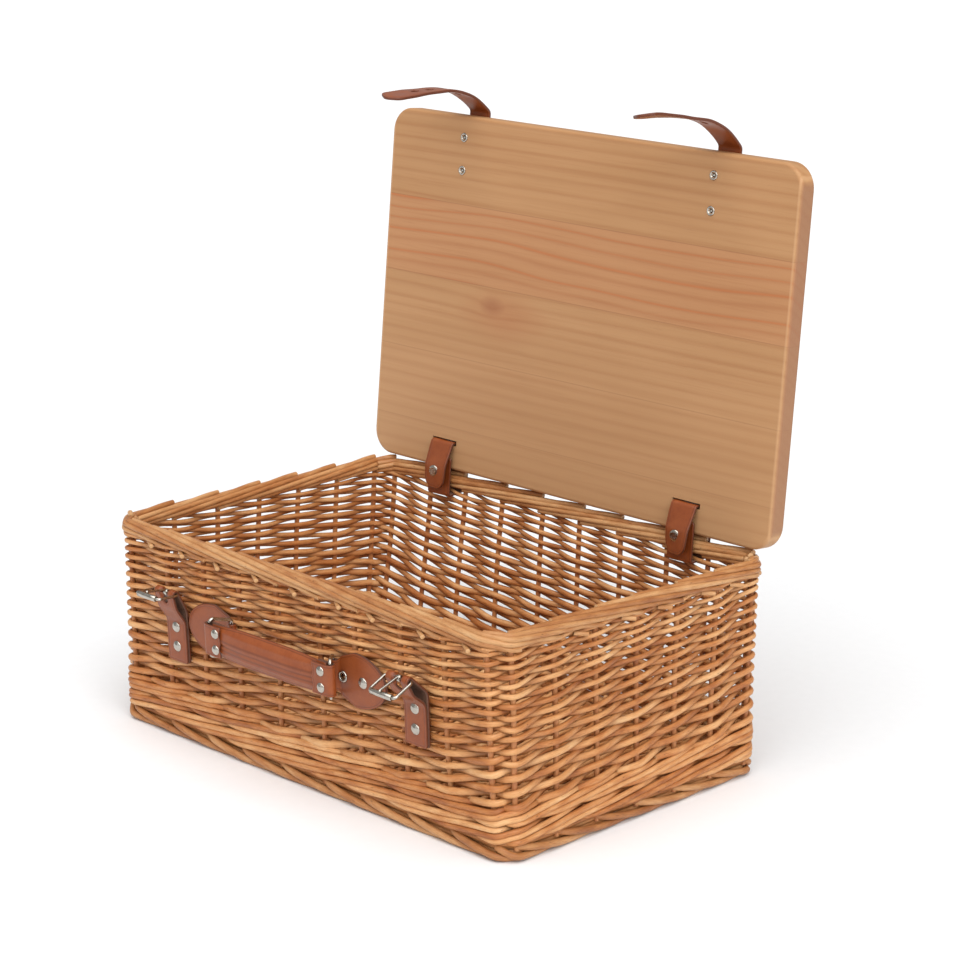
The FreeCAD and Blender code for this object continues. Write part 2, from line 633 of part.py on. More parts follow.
def make_pad(side, wall_bar):
    """The leather pad that holds a ring on the wall, with its eyelet and rivet."""
    sign = SIDES[side]
    x0 = wall_bar.x
    x1 = x0 + sign * (PAD_REACH - PAD_ROUND)
    narrow = PAD_HALF_HEIGHT * PAD_NARROW
    begin = -sign * math.pi / 2
    round_end = Part.Edge(Part.Ellipse(vec(x1, 0, 0), PAD_ROUND, PAD_HALF_HEIGHT), begin, begin + math.pi)
    edges = [round_end]
    outline_points = ((x1, PAD_HALF_HEIGHT), (x0, narrow), (x0, -narrow), (x1, -PAD_HALF_HEIGHT))
    for start, end in zip(outline_points, outline_points[1:]):
        edges.append(Part.LineSegment(vec(*start, 0), vec(*end, 0)).toShape())
    face = Part.Face(Part.Wire(Part.sortEdges(edges)[0]))
    plate = outward(face.extrude(vec(0, 0, PAD_THICK)), 0, 0, 0)

    half = RING_HALF_HEIGHT - RING_WIRE - PAD_KNUCKLE_GAP
    pad = fuse([plate, upright(wall_bar, half, PAD_KNUCKLE)])
    room = 1.5 * PAD_KNUCKLE
    for low, high in ((half, PAD_HALF_HEIGHT), (-PAD_HALF_HEIGHT, -half)):
        pad = pad.cut(block(x0 - room, x0 + room, -2 * RING_STAND_OFF, 0, low, high))
    pad = pad.cut(upright(wall_bar, PAD_HALF_HEIGHT, PAD_KNUCKLE_BORE))

    eyelet_x = x0 + sign * EYELET_OFFSET
    barrel = EYELET_BORE + EYELET_WALL
    through = 2 * PAD_THICK
    eyelet = fuse([Part.makeCylinder(EYELET_RADIUS, EYELET_RISE),
                   Part.makeCylinder(barrel, PAD_THICK, vec(0, 0, -PAD_THICK))])
    eyelet = eyelet.cut(Part.makeCylinder(EYELET_BORE, 2 * through, vec(0, 0, -through)))
    eyelet = outward(eyelet, eyelet_x, -PAD_THICK, 0)
    hole = outward(Part.makeCylinder(barrel, 2 * through, vec(0, 0, -through)), eyelet_x, 0, 0)
    pin = outward(rivet(CAP_RADIUS, CAP_RISE, SHANK_RADIUS, PAD_THICK + SHANK_DEPTH),
                  x0 + sign * PAD_RIVET_OFFSET, -PAD_THICK, 0)
    nodes[f"handle_pad_{side}"] = on_handle(pad.cut(hole).cut(pin))
    pin = on_handle(pin)
    nodes["weave_front"] = nodes["weave_front"].cut(pin)
    return on_handle(eyelet), pin


def grip_section(along, half_height, half_thick):
    ease = half_thick * GRIP_EASE
    points = [(half_thick, half_height - ease), (half_thick - ease, half_height),
              (-half_thick + ease, half_height), (-half_thick, half_height - ease)]
    points += [(-y, -z) for y, z in points]
    return Part.makePolygon([vec(along, y, z) for y, z in points + points[:1]])


def make_grip(left_bar, right_bar):
    line = right_bar - left_bar
    length = line.Length
    stations = list(GRIP_SECTIONS)
    stations += [(length - s, h, t) for s, h, t in reversed(GRIP_SECTIONS)]
    body = Part.makeLoft([grip_section(*s) for s in stations], True, True)
    half = GRIP_END_HALF
    folds = [rod(vec(x, 0, -half), vec(x, 0, half), GRIP_FOLD) for x in (0, length)]
    front = -GRIP_SECTIONS[0][2]
    flaps = []
    for low, high in ((0, GRIP_FLAP), (length - GRIP_FLAP, length)):
        flaps.append(block(low, high, front - GRIP_FLAP_THICK, front, -half, half))
    grip = fuse([body] + folds + flaps)
    for x in (0, length):
        grip = grip.cut(rod(vec(x, 0, -2 * half), vec(x, 0, 2 * half), GRIP_FOLD_BORE))
    pins = []
    for x in (GRIP_RIVET_IN["left"], length - GRIP_RIVET_IN["right"]):
        for z in (-GRIP_RIVET_HALF, GRIP_RIVET_HALF):
            pin = rivet(GRIP_CAP_RADIUS, CAP_RISE, SHANK_RADIUS, GRIP_FLAP_THICK + GRIP_SHANK_DEPTH)
            pin = outward(pin, x, front - GRIP_FLAP_THICK, z)
            grip = grip.cut(pin)
            pins.append(pin)
    turn = Rotation(vec(0, 0, 1), math.degrees(math.atan2(line.y, line.x)))
    tip = Rotation(vec(0, 1, 0), -math.degrees(math.asin(line.z / length)))
    place = Placement(left_bar, turn.multiply(tip))
    for name, shape in (("handle_grip", grip), ("handle_grip_rivets", Part.makeCompound(pins))):
        shape.Placement = place.multiply(shape.Placement)
        nodes[name] = on_handle(shape)


def make_handle():
    a, b, c, d = ring_points()
    eyelets = []
    pins = []
    for side, wall_bar, outer_bar in (("left", a, b), ("right", d, c)):
        make_ring(side, wall_bar, outer_bar)
        eyelet, pin = make_pad(side, wall_bar)
        eyelets.append(eyelet)
        pins.append(pin)
    nodes["handle_pad_eyelets"] = Part.makeCompound(eyelets)
    nodes["handle_pad_rivets"] = Part.makeCompound(pins)
    make_grip(b, c)


make_walls()
make_base()
make_lid()
make_closure_straps()
make_hinge_straps()
chape_rivets = []
for side_name in SIDES:
    make_buckle(side_name)
    chape_rivets += make_chape(side_name)
nodes["buckle_chape_rivets"] = Part.makeCompound(chape_rivets)
make_handle()

os.makedirs("parts", exist_ok=True)
for node_name, node_shape in nodes.items():
    node_shape.exportStep(f"parts/{node_name}.step")
    print(f"{node_name:30s} volume {node_shape.Volume:12.1f} solids {len(node_shape.Solids):3d} "
          f"valid {node_shape.isValid()}")
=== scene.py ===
import bmesh
import bpy
import math
import numpy as np
from mathutils import Matrix, Vector
from mathutils.geometry import delaunay_2d_cdt


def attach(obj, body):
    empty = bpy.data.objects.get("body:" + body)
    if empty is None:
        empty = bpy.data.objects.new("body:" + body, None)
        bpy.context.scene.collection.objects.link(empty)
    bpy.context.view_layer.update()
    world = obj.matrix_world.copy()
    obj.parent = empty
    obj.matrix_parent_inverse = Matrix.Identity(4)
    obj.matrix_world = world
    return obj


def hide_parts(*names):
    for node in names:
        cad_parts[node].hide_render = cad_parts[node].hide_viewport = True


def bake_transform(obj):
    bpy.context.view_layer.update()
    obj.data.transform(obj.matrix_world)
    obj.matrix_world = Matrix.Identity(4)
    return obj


# The looks of a wicker picnic hamper: woven willow, a pine board for a lid, leather straps and a handle.
# Shapes are worked out in millimetres in the part's frame: z is up, and the front wall faces -y.

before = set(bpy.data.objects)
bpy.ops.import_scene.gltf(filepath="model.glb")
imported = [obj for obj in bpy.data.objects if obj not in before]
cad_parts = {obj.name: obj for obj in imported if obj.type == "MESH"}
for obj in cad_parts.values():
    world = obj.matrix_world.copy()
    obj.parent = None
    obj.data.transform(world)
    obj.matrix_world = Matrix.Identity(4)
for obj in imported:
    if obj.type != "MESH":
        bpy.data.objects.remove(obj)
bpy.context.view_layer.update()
rng = np.random.default_rng(7)
MM = 0.001

# ---- the basket, as in the CAD ----
LENGTH_TOP, LENGTH_BOTTOM = 460.0, 470.0
DEPTH_TOP, DEPTH_BOTTOM = 320.0, 298.0
CORNER_TOP, CORNER_BOTTOM = 14.0, 11.0
HEIGHT = 190.0
LONG_GAPS, SHORT_GAPS = 9, 6
STAKES = 2 * (LONG_GAPS + 1) + 2 * (SHORT_GAPS + 1)
FRONT_LAST = LONG_GAPS                  # stake numbers run counter-clockwise from the front left corner
RIGHT_LAST = FRONT_LAST + 1 + SHORT_GAPS
BACK_LAST = RIGHT_LAST + 1 + LONG_GAPS
WALL_HALF = 5.5
SAMPLES = 12                           # points along a rod from one stake to the next

# ---- the lid, straps and hardware, as in the CAD ----
LID_DEPTH, LID_LEAN = 325.0, math.radians(4.2)
LID_EDGE_Y, LID_EDGE_Z = 153.0, 192.2
STRAP_X, STRAP_WIDTH, LEATHER = 147.0, 25.0, 2.5
SIDES = {"left": -1, "right": 1}


# ---- building meshes ----
def make_piece(name, points, faces, values, material, outward=False):
    """A smooth mesh object from points in millimetres; values are what its material reads at each point."""
    mesh = bpy.data.meshes.new(name)
    mesh.from_pydata((points * MM).tolist(), [], faces)
    for key, value in values.items():
        kind, field = ("FLOAT_VECTOR", "vector") if value.ndim == 2 else ("FLOAT", "value")
        mesh.attributes.new(key, kind, "POINT").data.foreach_set(field, value.ravel())
    mesh.polygons.foreach_set("use_smooth", [True] * len(mesh.polygons))
    mesh.update()
    if outward:
        form = bmesh.new()
        form.from_mesh(mesh)
        bmesh.ops.recalc_face_normals(form, faces=form.faces)
        form.to_mesh(mesh)
        form.free()
    mesh.materials.append(material)
    piece = bpy.data.objects.new(name, mesh)
    bpy.context.scene.collection.objects.link(piece)
    return piece


def ring_faces(rows, sides):
    """The faces between rows of points that each go once round a form."""
    row = np.arange(rows - 1)[:, None] * sides
    here = np.arange(sides)[None]
    after = (here + 1) % sides
    return np.stack([row + here, row + after, row + sides + after, row + sides + here], axis=2).reshape(-1, 4)


class Shape:
    """Points and faces of one piece, with the values that its material reads."""

    def __init__(self):
        self.points, self.grain, self.tone, self.cut, self.faces = [], [], [], [], []
        self.count = 0

    def add(self, points, faces, grain, tone, cut):
        """grain is a place in the material's own grain, tone a rod's shade.

        The last value is 1 on a cut end and on a metal part's painted shade in a recess, and goes down to -1
        for painted shade where a rod's surface lies deep in the weave.
        """
        size = len(points)
        self.points.append(np.asarray(points, float))
        self.grain.append(np.asarray(grain, float))
        self.tone.append(np.broadcast_to(tone, size).astype(float))
        self.cut.append(np.broadcast_to(cut, size).astype(float))
        self.faces += (np.asarray(faces) + self.count).tolist()
        self.count += size

    def build(self, name, material):
        values = {"grain": self.grain, "tone": self.tone, "cut": self.cut}
        return make_piece(name, np.concatenate(self.points), self.faces,
                          {key: np.concatenate(parts) for key, parts in values.items()}, material)


def unit(vectors):
    return vectors / np.maximum(np.linalg.norm(vectors, axis=-1, keepdims=True), 1e-12)


def smoothed(values, kernel):
    """A line of values averaged with their neighbours."""
    return np.convolve(np.pad(values, len(kernel) // 2, mode="edge"), kernel, mode="valid")


PROUD_REACH = 5.0                      # a rod's surface this far from the wall's middle gets no painted shade
TONE_SHIFT = 997                       # how far rods of different shade lie apart in the grain


def tube(shape, path, across, wide, high, tone, sides=10, caps=(True, True), out=None):
    """A rod along a path: its half thickness is wide towards `across` and high the other way.

    out, its distance from the wall's middle, sets the painted shade on what lies deep in the weave.
    """
    path = np.asarray(path, float)
    count = len(path)
    tangent = unit(np.gradient(path, axis=0))
    across = np.broadcast_to(np.asarray(across, float), path.shape)
    across = unit(across - tangent * (across * tangent).sum(1, keepdims=True))
    other = np.cross(tangent, across)
    wide = np.broadcast_to(wide, count)[:, None, None]
    high = np.broadcast_to(high, count)[:, None, None]
    angle = 2 * np.pi * np.arange(sides) / sides
    c, s = np.cos(angle)[None, :, None], np.sin(angle)[None, :, None]
    points = path[:, None] + across[:, None] * c * wide + other[:, None] * s * high
    distance = np.r_[0, np.cumsum(np.linalg.norm(np.diff(path, axis=0), axis=1))] + TONE_SHIFT * tone
    grain = np.concatenate([np.broadcast_to(distance[:, None, None], (count, sides, 1)),
                            np.broadcast_to(c * wide, (count, sides, 1)),
                            np.broadcast_to(s * high, (count, sides, 1))], axis=2)
    # painted shade: rod surfaces near the wall's middle, deep in the weave, get a negative value that darkens
    # them
    painted_shade = 0.0
    if out is not None:
        proud = np.abs(out[:, None] + c[:, :, 0] * wide[:, :, 0])
        painted_shade = -np.clip(1 - proud / PROUD_REACH, 0, 1).ravel()
    shape.add(points.reshape(-1, 3), ring_faces(count, sides), grain.reshape(-1, 3), tone, painted_shade)
    for wanted, at, sign in ((caps[0], 0, -1), (caps[1], count - 1, 1)):
        if not wanted:
            continue
        bulge = 0.25 * float(wide[at, 0, 0])
        centre = path[at] + tangent[at] * sign * bulge
        inner = centre + (points[at] - path[at]) * 0.6 - tangent[at] * sign * bulge * 0.3
        cap_points = np.concatenate([points[at], inner, centre[None]])
        ring = ring_faces(2, sides)
        fan = np.column_stack([ring[:, 3], ring[:, 2], np.full(sides, 2 * sides)])
        if sign < 0:
            ring, fan = ring[:, ::-1], fan[:, ::-1]
        cap_grain = np.concatenate([grain[at], grain[at] * 0.6, grain[at][:1] * 0])
        cap_grain[:, 0] = distance[at]
        start = shape.count
        shape.add(cap_points, ring, cap_grain, tone, 1.0)
        shape.faces += (fan + start).tolist()


# ---- the line of the stakes ----
def stake_place(number, z):
    """(x, y) of a stake at a height, counting round the basket."""
    number = number % STAKES
    half_x = (LENGTH_BOTTOM + (LENGTH_TOP - LENGTH_BOTTOM) * z / HEIGHT) / 2
    half_y = (DEPTH_BOTTOM + (DEPTH_TOP - DEPTH_BOTTOM) * z / HEIGHT) / 2
    corner = CORNER_BOTTOM + (CORNER_TOP - CORNER_BOTTOM) * z / HEIGHT
    if number <= FRONT_LAST:
        share = 2 * number / LONG_GAPS - 1 + stake_shift[number]
        return share * (half_x - corner), -half_y
    if number <= RIGHT_LAST:
        share = 2 * (number - FRONT_LAST - 1) / SHORT_GAPS - 1 + stake_shift[number]
        return half_x, share * (half_y - corner)
    if number <= BACK_LAST:
        share = 1 - 2 * (number - RIGHT_LAST - 1) / LONG_GAPS + stake_shift[number]
        return share * (half_x - corner), half_y
    share = 1 - 2 * (number - BACK_LAST - 1) / SHORT_GAPS + stake_shift[number]
    return -half_x, share * (half_y - corner)


CORNERS = [(STAKES - 1, 0)] + [(last, last + 1) for last in (FRONT_LAST, RIGHT_LAST, BACK_LAST)]
stake_shift = rng.uniform(-0.014, 0.014, STAKES)
stake_shift[np.ravel(CORNERS)] = 0

LINE_STEPS = 40                        # points of the wall's line from one stake to the next
ROUNDING = 1.9                         # how far that line is averaged, which rounds it at the corner stakes


def rounded_wall_line(z):
    corners = np.array([stake_place(number, z) for number in range(STAKES + 1)])
    share = (np.arange(STAKES * LINE_STEPS) % LINE_STEPS)[:, None] / LINE_STEPS
    number = np.arange(STAKES * LINE_STEPS) // LINE_STEPS
    line = corners[number] * (1 - share) + corners[number + 1] * share
    step = np.linalg.norm(np.roll(line, -1, axis=0) - line, axis=1)
    at = np.cumsum(step) - step
    around = step.sum()
    away = np.abs(at[:, None] - at[None])
    away = np.minimum(away, around - away)
    weight = np.exp(-0.5 * (away / ROUNDING) ** 2) * step[None]
    return (weight @ line) / weight.sum(1, keepdims=True)


line_low, line_high = rounded_wall_line(0.0), rounded_wall_line(HEIGHT)
line_middle = (line_low + line_high) / 2
line_step = np.roll(line_middle, -1, axis=0) - np.roll(line_middle, 1, axis=0)
line_normal = unit(np.stack([line_step[:, 1], -line_step[:, 0]], axis=1))


def wall_point(stake, z, out):
    """Points of the wall: a stake number that may lie between stakes, a height and a distance out."""
    stake, z, out = np.broadcast_arrays(np.asarray(stake, float), z, out)
    place = (stake % STAKES) * LINE_STEPS
    first = np.floor(place).astype(int) % len(line_low)
    after = (first + 1) % len(line_low)
    share = (place - np.floor(place))[:, None]
    rise = (z / HEIGHT)[:, None]
    low = line_low[first] * (1 - share) + line_low[after] * share
    high = line_high[first] * (1 - share) + line_high[after] * share
    normal = unit(line_normal[first] * (1 - share) + line_normal[after] * share)
    flat = low * (1 - rise) + high * rise + normal * out[:, None]
    return np.column_stack([flat, z]), np.column_stack([normal, np.zeros(len(z))])


# ---- weave ----
WEAVE_LEVELS = 28                      # a rod climbs one level from stake to stake
WEAVE_START, FIRST_LEVEL, LEVEL_SHRINK = 45.6, 5.9, 0.9805
ROD_HIGH, ROD_WIDE = 0.262, 0.218      # half a rod's height and thickness, as shares of two levels


def level_height(level):
    return WEAVE_START + FIRST_LEVEL * (1 - LEVEL_SHRINK ** level) / (1 - LEVEL_SHRINK)


def corner_lift(stake):
    """Extra levels that the rods climb before each corner and give back after it."""
    lifts = np.zeros(STAKES)
    for before, after in CORNERS:
        lifts[before], lifts[after] = 0.8, 0.25
    return np.interp(stake % STAKES, np.arange(STAKES + 1), np.append(lifts, lifts[0]))


def wall_waves(stake, level):
    """The slow unevenness that neighbouring rods share."""
    return (0.16 * np.sin(stake * 1.13 + level * 0.31) + 0.13 * np.sin(stake * 2.4 - level * 0.57 + 1.0)
            + 0.08 * np.sin(stake * 4.1 + level * 0.9 + 2.0))


# the four walls as ranges of stake numbers, so that each wall's weave is its own piece
WALLS = {"front": (-0.5, FRONT_LAST + 0.5), "right": (FRONT_LAST + 0.5, RIGHT_LAST + 0.5),
         "back": (RIGHT_LAST + 0.5, BACK_LAST + 0.5), "left": (BACK_LAST + 0.5, STAKES - 0.5)}


def weave_rod(shapes, start):
    """One weaving rod: over a stake, behind the next, climbing all the way."""
    tone = rng.uniform()
    size = rng.uniform(0.92, 1.06)
    u = start - 0.5 + np.arange((WEAVE_LEVELS + 1) * SAMPLES + 1) / SAMPLES
    level = u - start
    knots = u[::SAMPLES // 2]
    wobble = np.interp(u, knots, rng.normal(0, 0.05, len(knots)))
    at = np.clip(level + corner_lift(u) + wall_waves(u, level) + wobble, -0.6, WEAVE_LEVELS + 0.3)
    z = level_height(at)
    pair = level_height(at + 1) - level_height(at - 1)
    high = ROD_HIGH * pair * size
    wide = ROD_WIDE * pair * size
    limit = np.interp(z, (44, 78), (6.9, WALL_HALF + 0.1))
    slant = 1 - 2 * np.abs((level + 1) % 2 - 1)
    out = (0.5 * np.cos(np.pi * level) + 0.5 * slant) * (limit - wide + 0.5)
    out = smoothed(out, [0.1, 0.2, 0.4, 0.2, 0.1])
    path, normal = wall_point(u, z, out)
    wrapped = (u + 0.5) % STAKES - 0.5
    for name, (low, last_place) in WALLS.items():
        inside = (wrapped >= low - 1e-6) & (wrapped <= last_place + 1e-6)
        edges = np.flatnonzero(np.diff(np.r_[0, inside.astype(int), 0]))
        for first, last in zip(edges[::2], edges[1::2]):
            if last - first < 4:
                continue
            part = slice(first, last)
            tube(shapes[name], path[part], normal[part], wide[part], high[part], tone,
                 sides=9, caps=(first == 0, last == len(u)), out=out[part])


# ---- the bands under and over the weave ----
WALE_LOW, WALE_STEP, WALE_ROUNDS = 14.6, 5.0, 2
WALE_WIDE, WALE_HIGH = 2.35, 2.55


def waling_rod(shape, start, low):
    """A rod of the upsett: it shows over three stakes, rising, and goes behind the fourth."""
    tone = rng.uniform()
    u = start + np.arange(-11, 38) / SAMPLES
    v = u - start
    rise = np.interp(v, (-0.9, -0.5, 0.0, 1.0, 2.0, 2.45, 3.05), (1.2, 0.35, 0.5, 1.45, 2.45, 2.75, 1.9))
    out = np.interp(v, (-0.9, -0.75, -0.3, 0, 1, 2, 2.35, 2.8, 3.05),
                    (-4.2, -4.2, 2.6, 4.5, 4.6, 4.5, 2.6, -4.2, -4.2))
    rise = smoothed(rise, np.full(5, 0.2))
    out = smoothed(out, np.full(5, 0.2))
    z = low + WALE_STEP * (rise + 0.5 * wall_waves(u, low / 5) + rng.normal(0, 0.05))
    path, normal = wall_point(u, z, out)
    size = rng.uniform(0.93, 1.07) * np.interp(v, (-0.9, 3.0), (1.03, 0.93))
    tube(shape, path, normal, WALE_WIDE * size, WALE_HIGH * size, tone, out=out)


CHIP_Z, CHIP_REACH, CHIP_RADIUS = 173.0, 7.6, 1.9


def chip(shape, stake, z):
    """A short cut rod end that sticks out of the wall."""
    share = np.linspace(0, 1, 6)
    path, _ = wall_point(stake + share * 0.22, z - share * 1.6, 1.5 + share * (CHIP_REACH - 1.5))
    tube(shape, path, (0, 0, 1), CHIP_RADIUS, CHIP_RADIUS, rng.uniform(0, 0.3), caps=(False, True))


RIM_MIDDLE, RIM_RADIUS, RIM_ROD, RIM_RAISE = 180.6, 5.2, 2.35, 2.1
RIM_STEP = 43.0                        # degrees round the border from one rod to the next


def rim_rod(shape, start, low, high, first_angle, last_angle, raised, flare):
    """A rod of the rim border, winding round it from one angle to another, cut off at both ends."""
    tone = rng.uniform()
    length = abs(last_angle - first_angle) / RIM_STEP
    u = start + np.arange(int(length * SAMPLES) + 1) / SAMPLES
    v = (u - start) / length
    angle = np.radians(first_angle + (last_angle - first_angle) * v)
    reach = RIM_RADIUS + raised * np.interp(u - start, (0, 0.3, 0.85), (1.0, 0.85, 0.0))
    reach = reach + flare * np.interp(v, (0.86, 1.0), (0, 1))
    inside = (u >= low) & (u <= high)
    if inside.sum() < 5:
        return
    path, normal = wall_point(u, RIM_MIDDLE + reach * np.sin(angle) + 0.4 * wall_waves(u, 3),
                              reach * np.cos(angle))
    size = RIM_ROD * rng.uniform(0.92, 1.05) * np.interp(v, (0, 1), (1.04, 0.9))
    tube(shape, path[inside], normal[inside], size[inside], size[inside], tone, sides=12)


def rim_border():
    """Two runs of winding rods round a core: one over the front and right walls, one over the others."""
    shape = Shape()
    u = np.arange(STAKES * SAMPLES + 1) / SAMPLES
    path, normal = wall_point(u, np.full(len(u), RIM_MIDDLE), np.zeros(len(u)))
    tube(shape, path, normal, 3.2, 3.4, 0.35, sides=8)
    front_run = (-0.45, RIGHT_LAST + 0.45)
    back_run = (RIGHT_LAST + 0.55, STAKES - 0.55)
    for start in range(-5, RIGHT_LAST + 1):
        shift = start + rng.uniform(-0.08, 0.08)
        rim_rod(shape, shift, *front_run, 112, -66, 0.5, 3.2)
        rim_rod(shape, shift + 0.5, *front_run, 130, 252, 0.0, 0.0)
        if start >= 0 and start not in (FRONT_LAST, FRONT_LAST + 1):
            chip(shape, start + rng.uniform(0.25, 0.6), CHIP_Z + rng.uniform(-0.8, 0.8))
    for start in range(RIGHT_LAST - 5, STAKES + 1):
        shift = start + rng.uniform(-0.08, 0.08)
        rim_rod(shape, shift, *back_run, 76, 250, RIM_RAISE, 1.5)
        rim_rod(shape, shift + 0.5, *back_run, 52, -66, 0.0, 0.8)
    return shape


FOOT_ROD = 3.0


def foot_rod(shape, start):
    """A rod of the foot border: out under the upsett, down to the floor and in under the next ones."""
    u = start + np.arange(30) / SAMPLES
    v = u - start
    z = np.interp(v, (0, 0.12, 0.35, 0.7, 1.0, 1.4, 1.8, 2.4), (12.2, 11.4, 9.4, 6.6, 4.7, 3.4, 3.1, 3.1))
    out = np.interp(v, (0, 0.1, 0.3, 0.7, 1.0, 1.4, 1.8, 2.4), (-1.5, 2.6, 4.0, 4.1, 3.4, 1.6, -1.0, -3.2))
    z = smoothed(z, [0.25, 0.5, 0.25])
    out = smoothed(out, [0.25, 0.5, 0.25])
    path, normal = wall_point(u, z, out)
    size = FOOT_ROD * rng.uniform(0.93, 1.05)
    tube(shape, path, normal, size, np.minimum(size, z - 0.05), rng.uniform(0.5, 1.0), sides=12)


def foot_ring(shape):
    """The layers of rods behind the foot border, which close the gap under the upsett."""
    u = np.arange(STAKES * SAMPLES + 1) / SAMPLES
    for low, out, turn in ((7.0, -2.2, 0.0), (11.6, -2.0, 2.0), (14.4, 0.6, 4.0)):
        path, normal = wall_point(u, low + 0.5 * np.sin(u * 1.9 + turn), out + 0.5 * np.sin(u * 2.7 + turn))
        tube(shape, path, normal, 2.4, 2.5, 0.6 + 0.1 * turn, sides=8)


STAKE_WIDE, STAKE_HIGH = 2.2, 2.45
STAKE_LOW, STAKE_TOP = 9, 180


def stake_rods():
    shape = Shape()
    for number in range(STAKES):
        z = np.linspace(STAKE_LOW, STAKE_TOP, 36)
        u = number + 0.02 * np.sin(z / 31 + number)
        path, normal = wall_point(u, z, np.zeros(len(z)))
        tube(shape, path, normal, STAKE_WIDE, STAKE_HIGH, rng.uniform(0.1, 0.8))
    return shape


BASE_MIDDLE, BASE_STICKS, BASE_PITCH = 11.5, 7, 38.0
BASE_HALF_X, BASE_HALF_Y, BASE_ROD_PITCH = 226.0, 141.0, 4.3


def base_mat():
    """The woven floor: seven thick sticks along it, and thin rods across, over and under."""
    shape = Shape()
    for k in range(BASE_STICKS):
        x = np.linspace(-BASE_HALF_X, BASE_HALF_X, 60)
        y = np.full(len(x), (k - (BASE_STICKS - 1) / 2) * BASE_PITCH)
        path = np.column_stack([x, y, np.full(len(x), BASE_MIDDLE)])
        tube(shape, path, (0, 0, 1), 2.6, 3.0, rng.uniform())
    y = np.linspace(-BASE_HALF_Y, BASE_HALF_Y, 64)
    count = int(2 * BASE_HALF_X / BASE_ROD_PITCH)
    for k in range(count):
        x = -BASE_HALF_X + (k + 0.5) * 2 * BASE_HALF_X / count
        z = BASE_MIDDLE + 2.6 * np.cos(np.pi * (y / BASE_PITCH + k))
        path = np.column_stack([x + 0.3 * np.sin(y / 23 + k), y, z])
        tube(shape, path, (0, 0, 1), 1.75, 2.05, rng.uniform(), sides=7)
    return shape


# ---- materials ----
tree = None                            # the node tree that the functions below add to, set by surface()


def put(made, key, value):
    """Sets a node's input to a number, a colour, a vector or another node's socket."""
    if isinstance(value, bpy.types.NodeSocket):
        tree.links.new(value, made.inputs[key])
    else:
        made.inputs[key].default_value = value


def node(kind, inputs=None, **settings):
    made = tree.nodes.new("ShaderNode" + kind)
    for key, value in settings.items():
        setattr(made, key, value)
    for key, value in (inputs or {}).items():
        put(made, key, value)
    return made


def maths(operation, first, second=0.0, third=0.0):
    return node("Math", {0: first, 1: second, 2: third}, operation=operation).outputs[0]


def plus(first, second):
    return maths("ADD", first, second)


def minus(first, second):
    return maths("SUBTRACT", first, second)


def times(first, second):
    return maths("MULTIPLY", first, second)


def scaled(vector, scale):
    return node("Mapping", {"Vector": vector, "Scale": scale}).outputs[0]


def vector_of(**parts):
    """A vector from its x, y and z, any of which may be left out."""
    return node("CombineXYZ", {"xyz".index(key): value for key, value in parts.items()}).outputs[0]


def attribute(name, output="Fac"):
    return node("Attribute", attribute_name=name).outputs[output]


def noise(vector, scale, detail=2.0, rough=0.5):
    return node("TexNoise", {"Vector": vector, "Scale": scale, "Detail": detail, "Roughness": rough}).outputs[0]


def stretch(value, low, high, to_low=0.0, to_high=1.0):
    """Maps low..high of a value to another range, without going outside it."""
    return node("MapRange", {"Value": value, "From Min": low, "From Max": high,
                             "To Min": to_low, "To Max": to_high}).outputs[0]


def colour(red, green, blue):
    """An sRGB colour, 0 to 255, as Blender's linear one."""
    linear = [c / 12.92 if c <= 0.04045 else ((c + 0.055) / 1.055) ** 2.4 for c in
              (red / 255, green / 255, blue / 255)]
    return (*linear, 1.0)


def mix(share, first, second):
    """The first colour turning into the second, which may be given as sRGB numbers."""
    made = node("Mix", data_type="RGBA")
    for key, value in ((0, share), (6, first), (7, second)):
        put(made, key, colour(*value) if isinstance(value, tuple) else value)
    return made.outputs[2]


def ramp(value, *stops):
    """A colour ramp through (place, sRGB colour) stops."""
    made = node("ValToRGB", {0: value})
    elements = made.color_ramp.elements
    while len(elements) < len(stops):
        elements.new(0.5)
    for element, (place, shade) in zip(elements, stops):
        element.position, element.color = place, colour(*shade)
    return made.outputs[0]


def surface(name, build):
    """A material whose principled shader gets its inputs from build()."""
    global tree
    material = bpy.data.materials.new(name)
    material.use_nodes = True
    tree = material.node_tree
    tree.nodes.clear()
    node("OutputMaterial", {"Surface": node("BsdfPrincipled", build()).outputs[0]})
    return material


def bumped(height, strength, distance):
    return node("Bump", {"Height": height, "Strength": strength, "Distance": distance}).outputs[0]


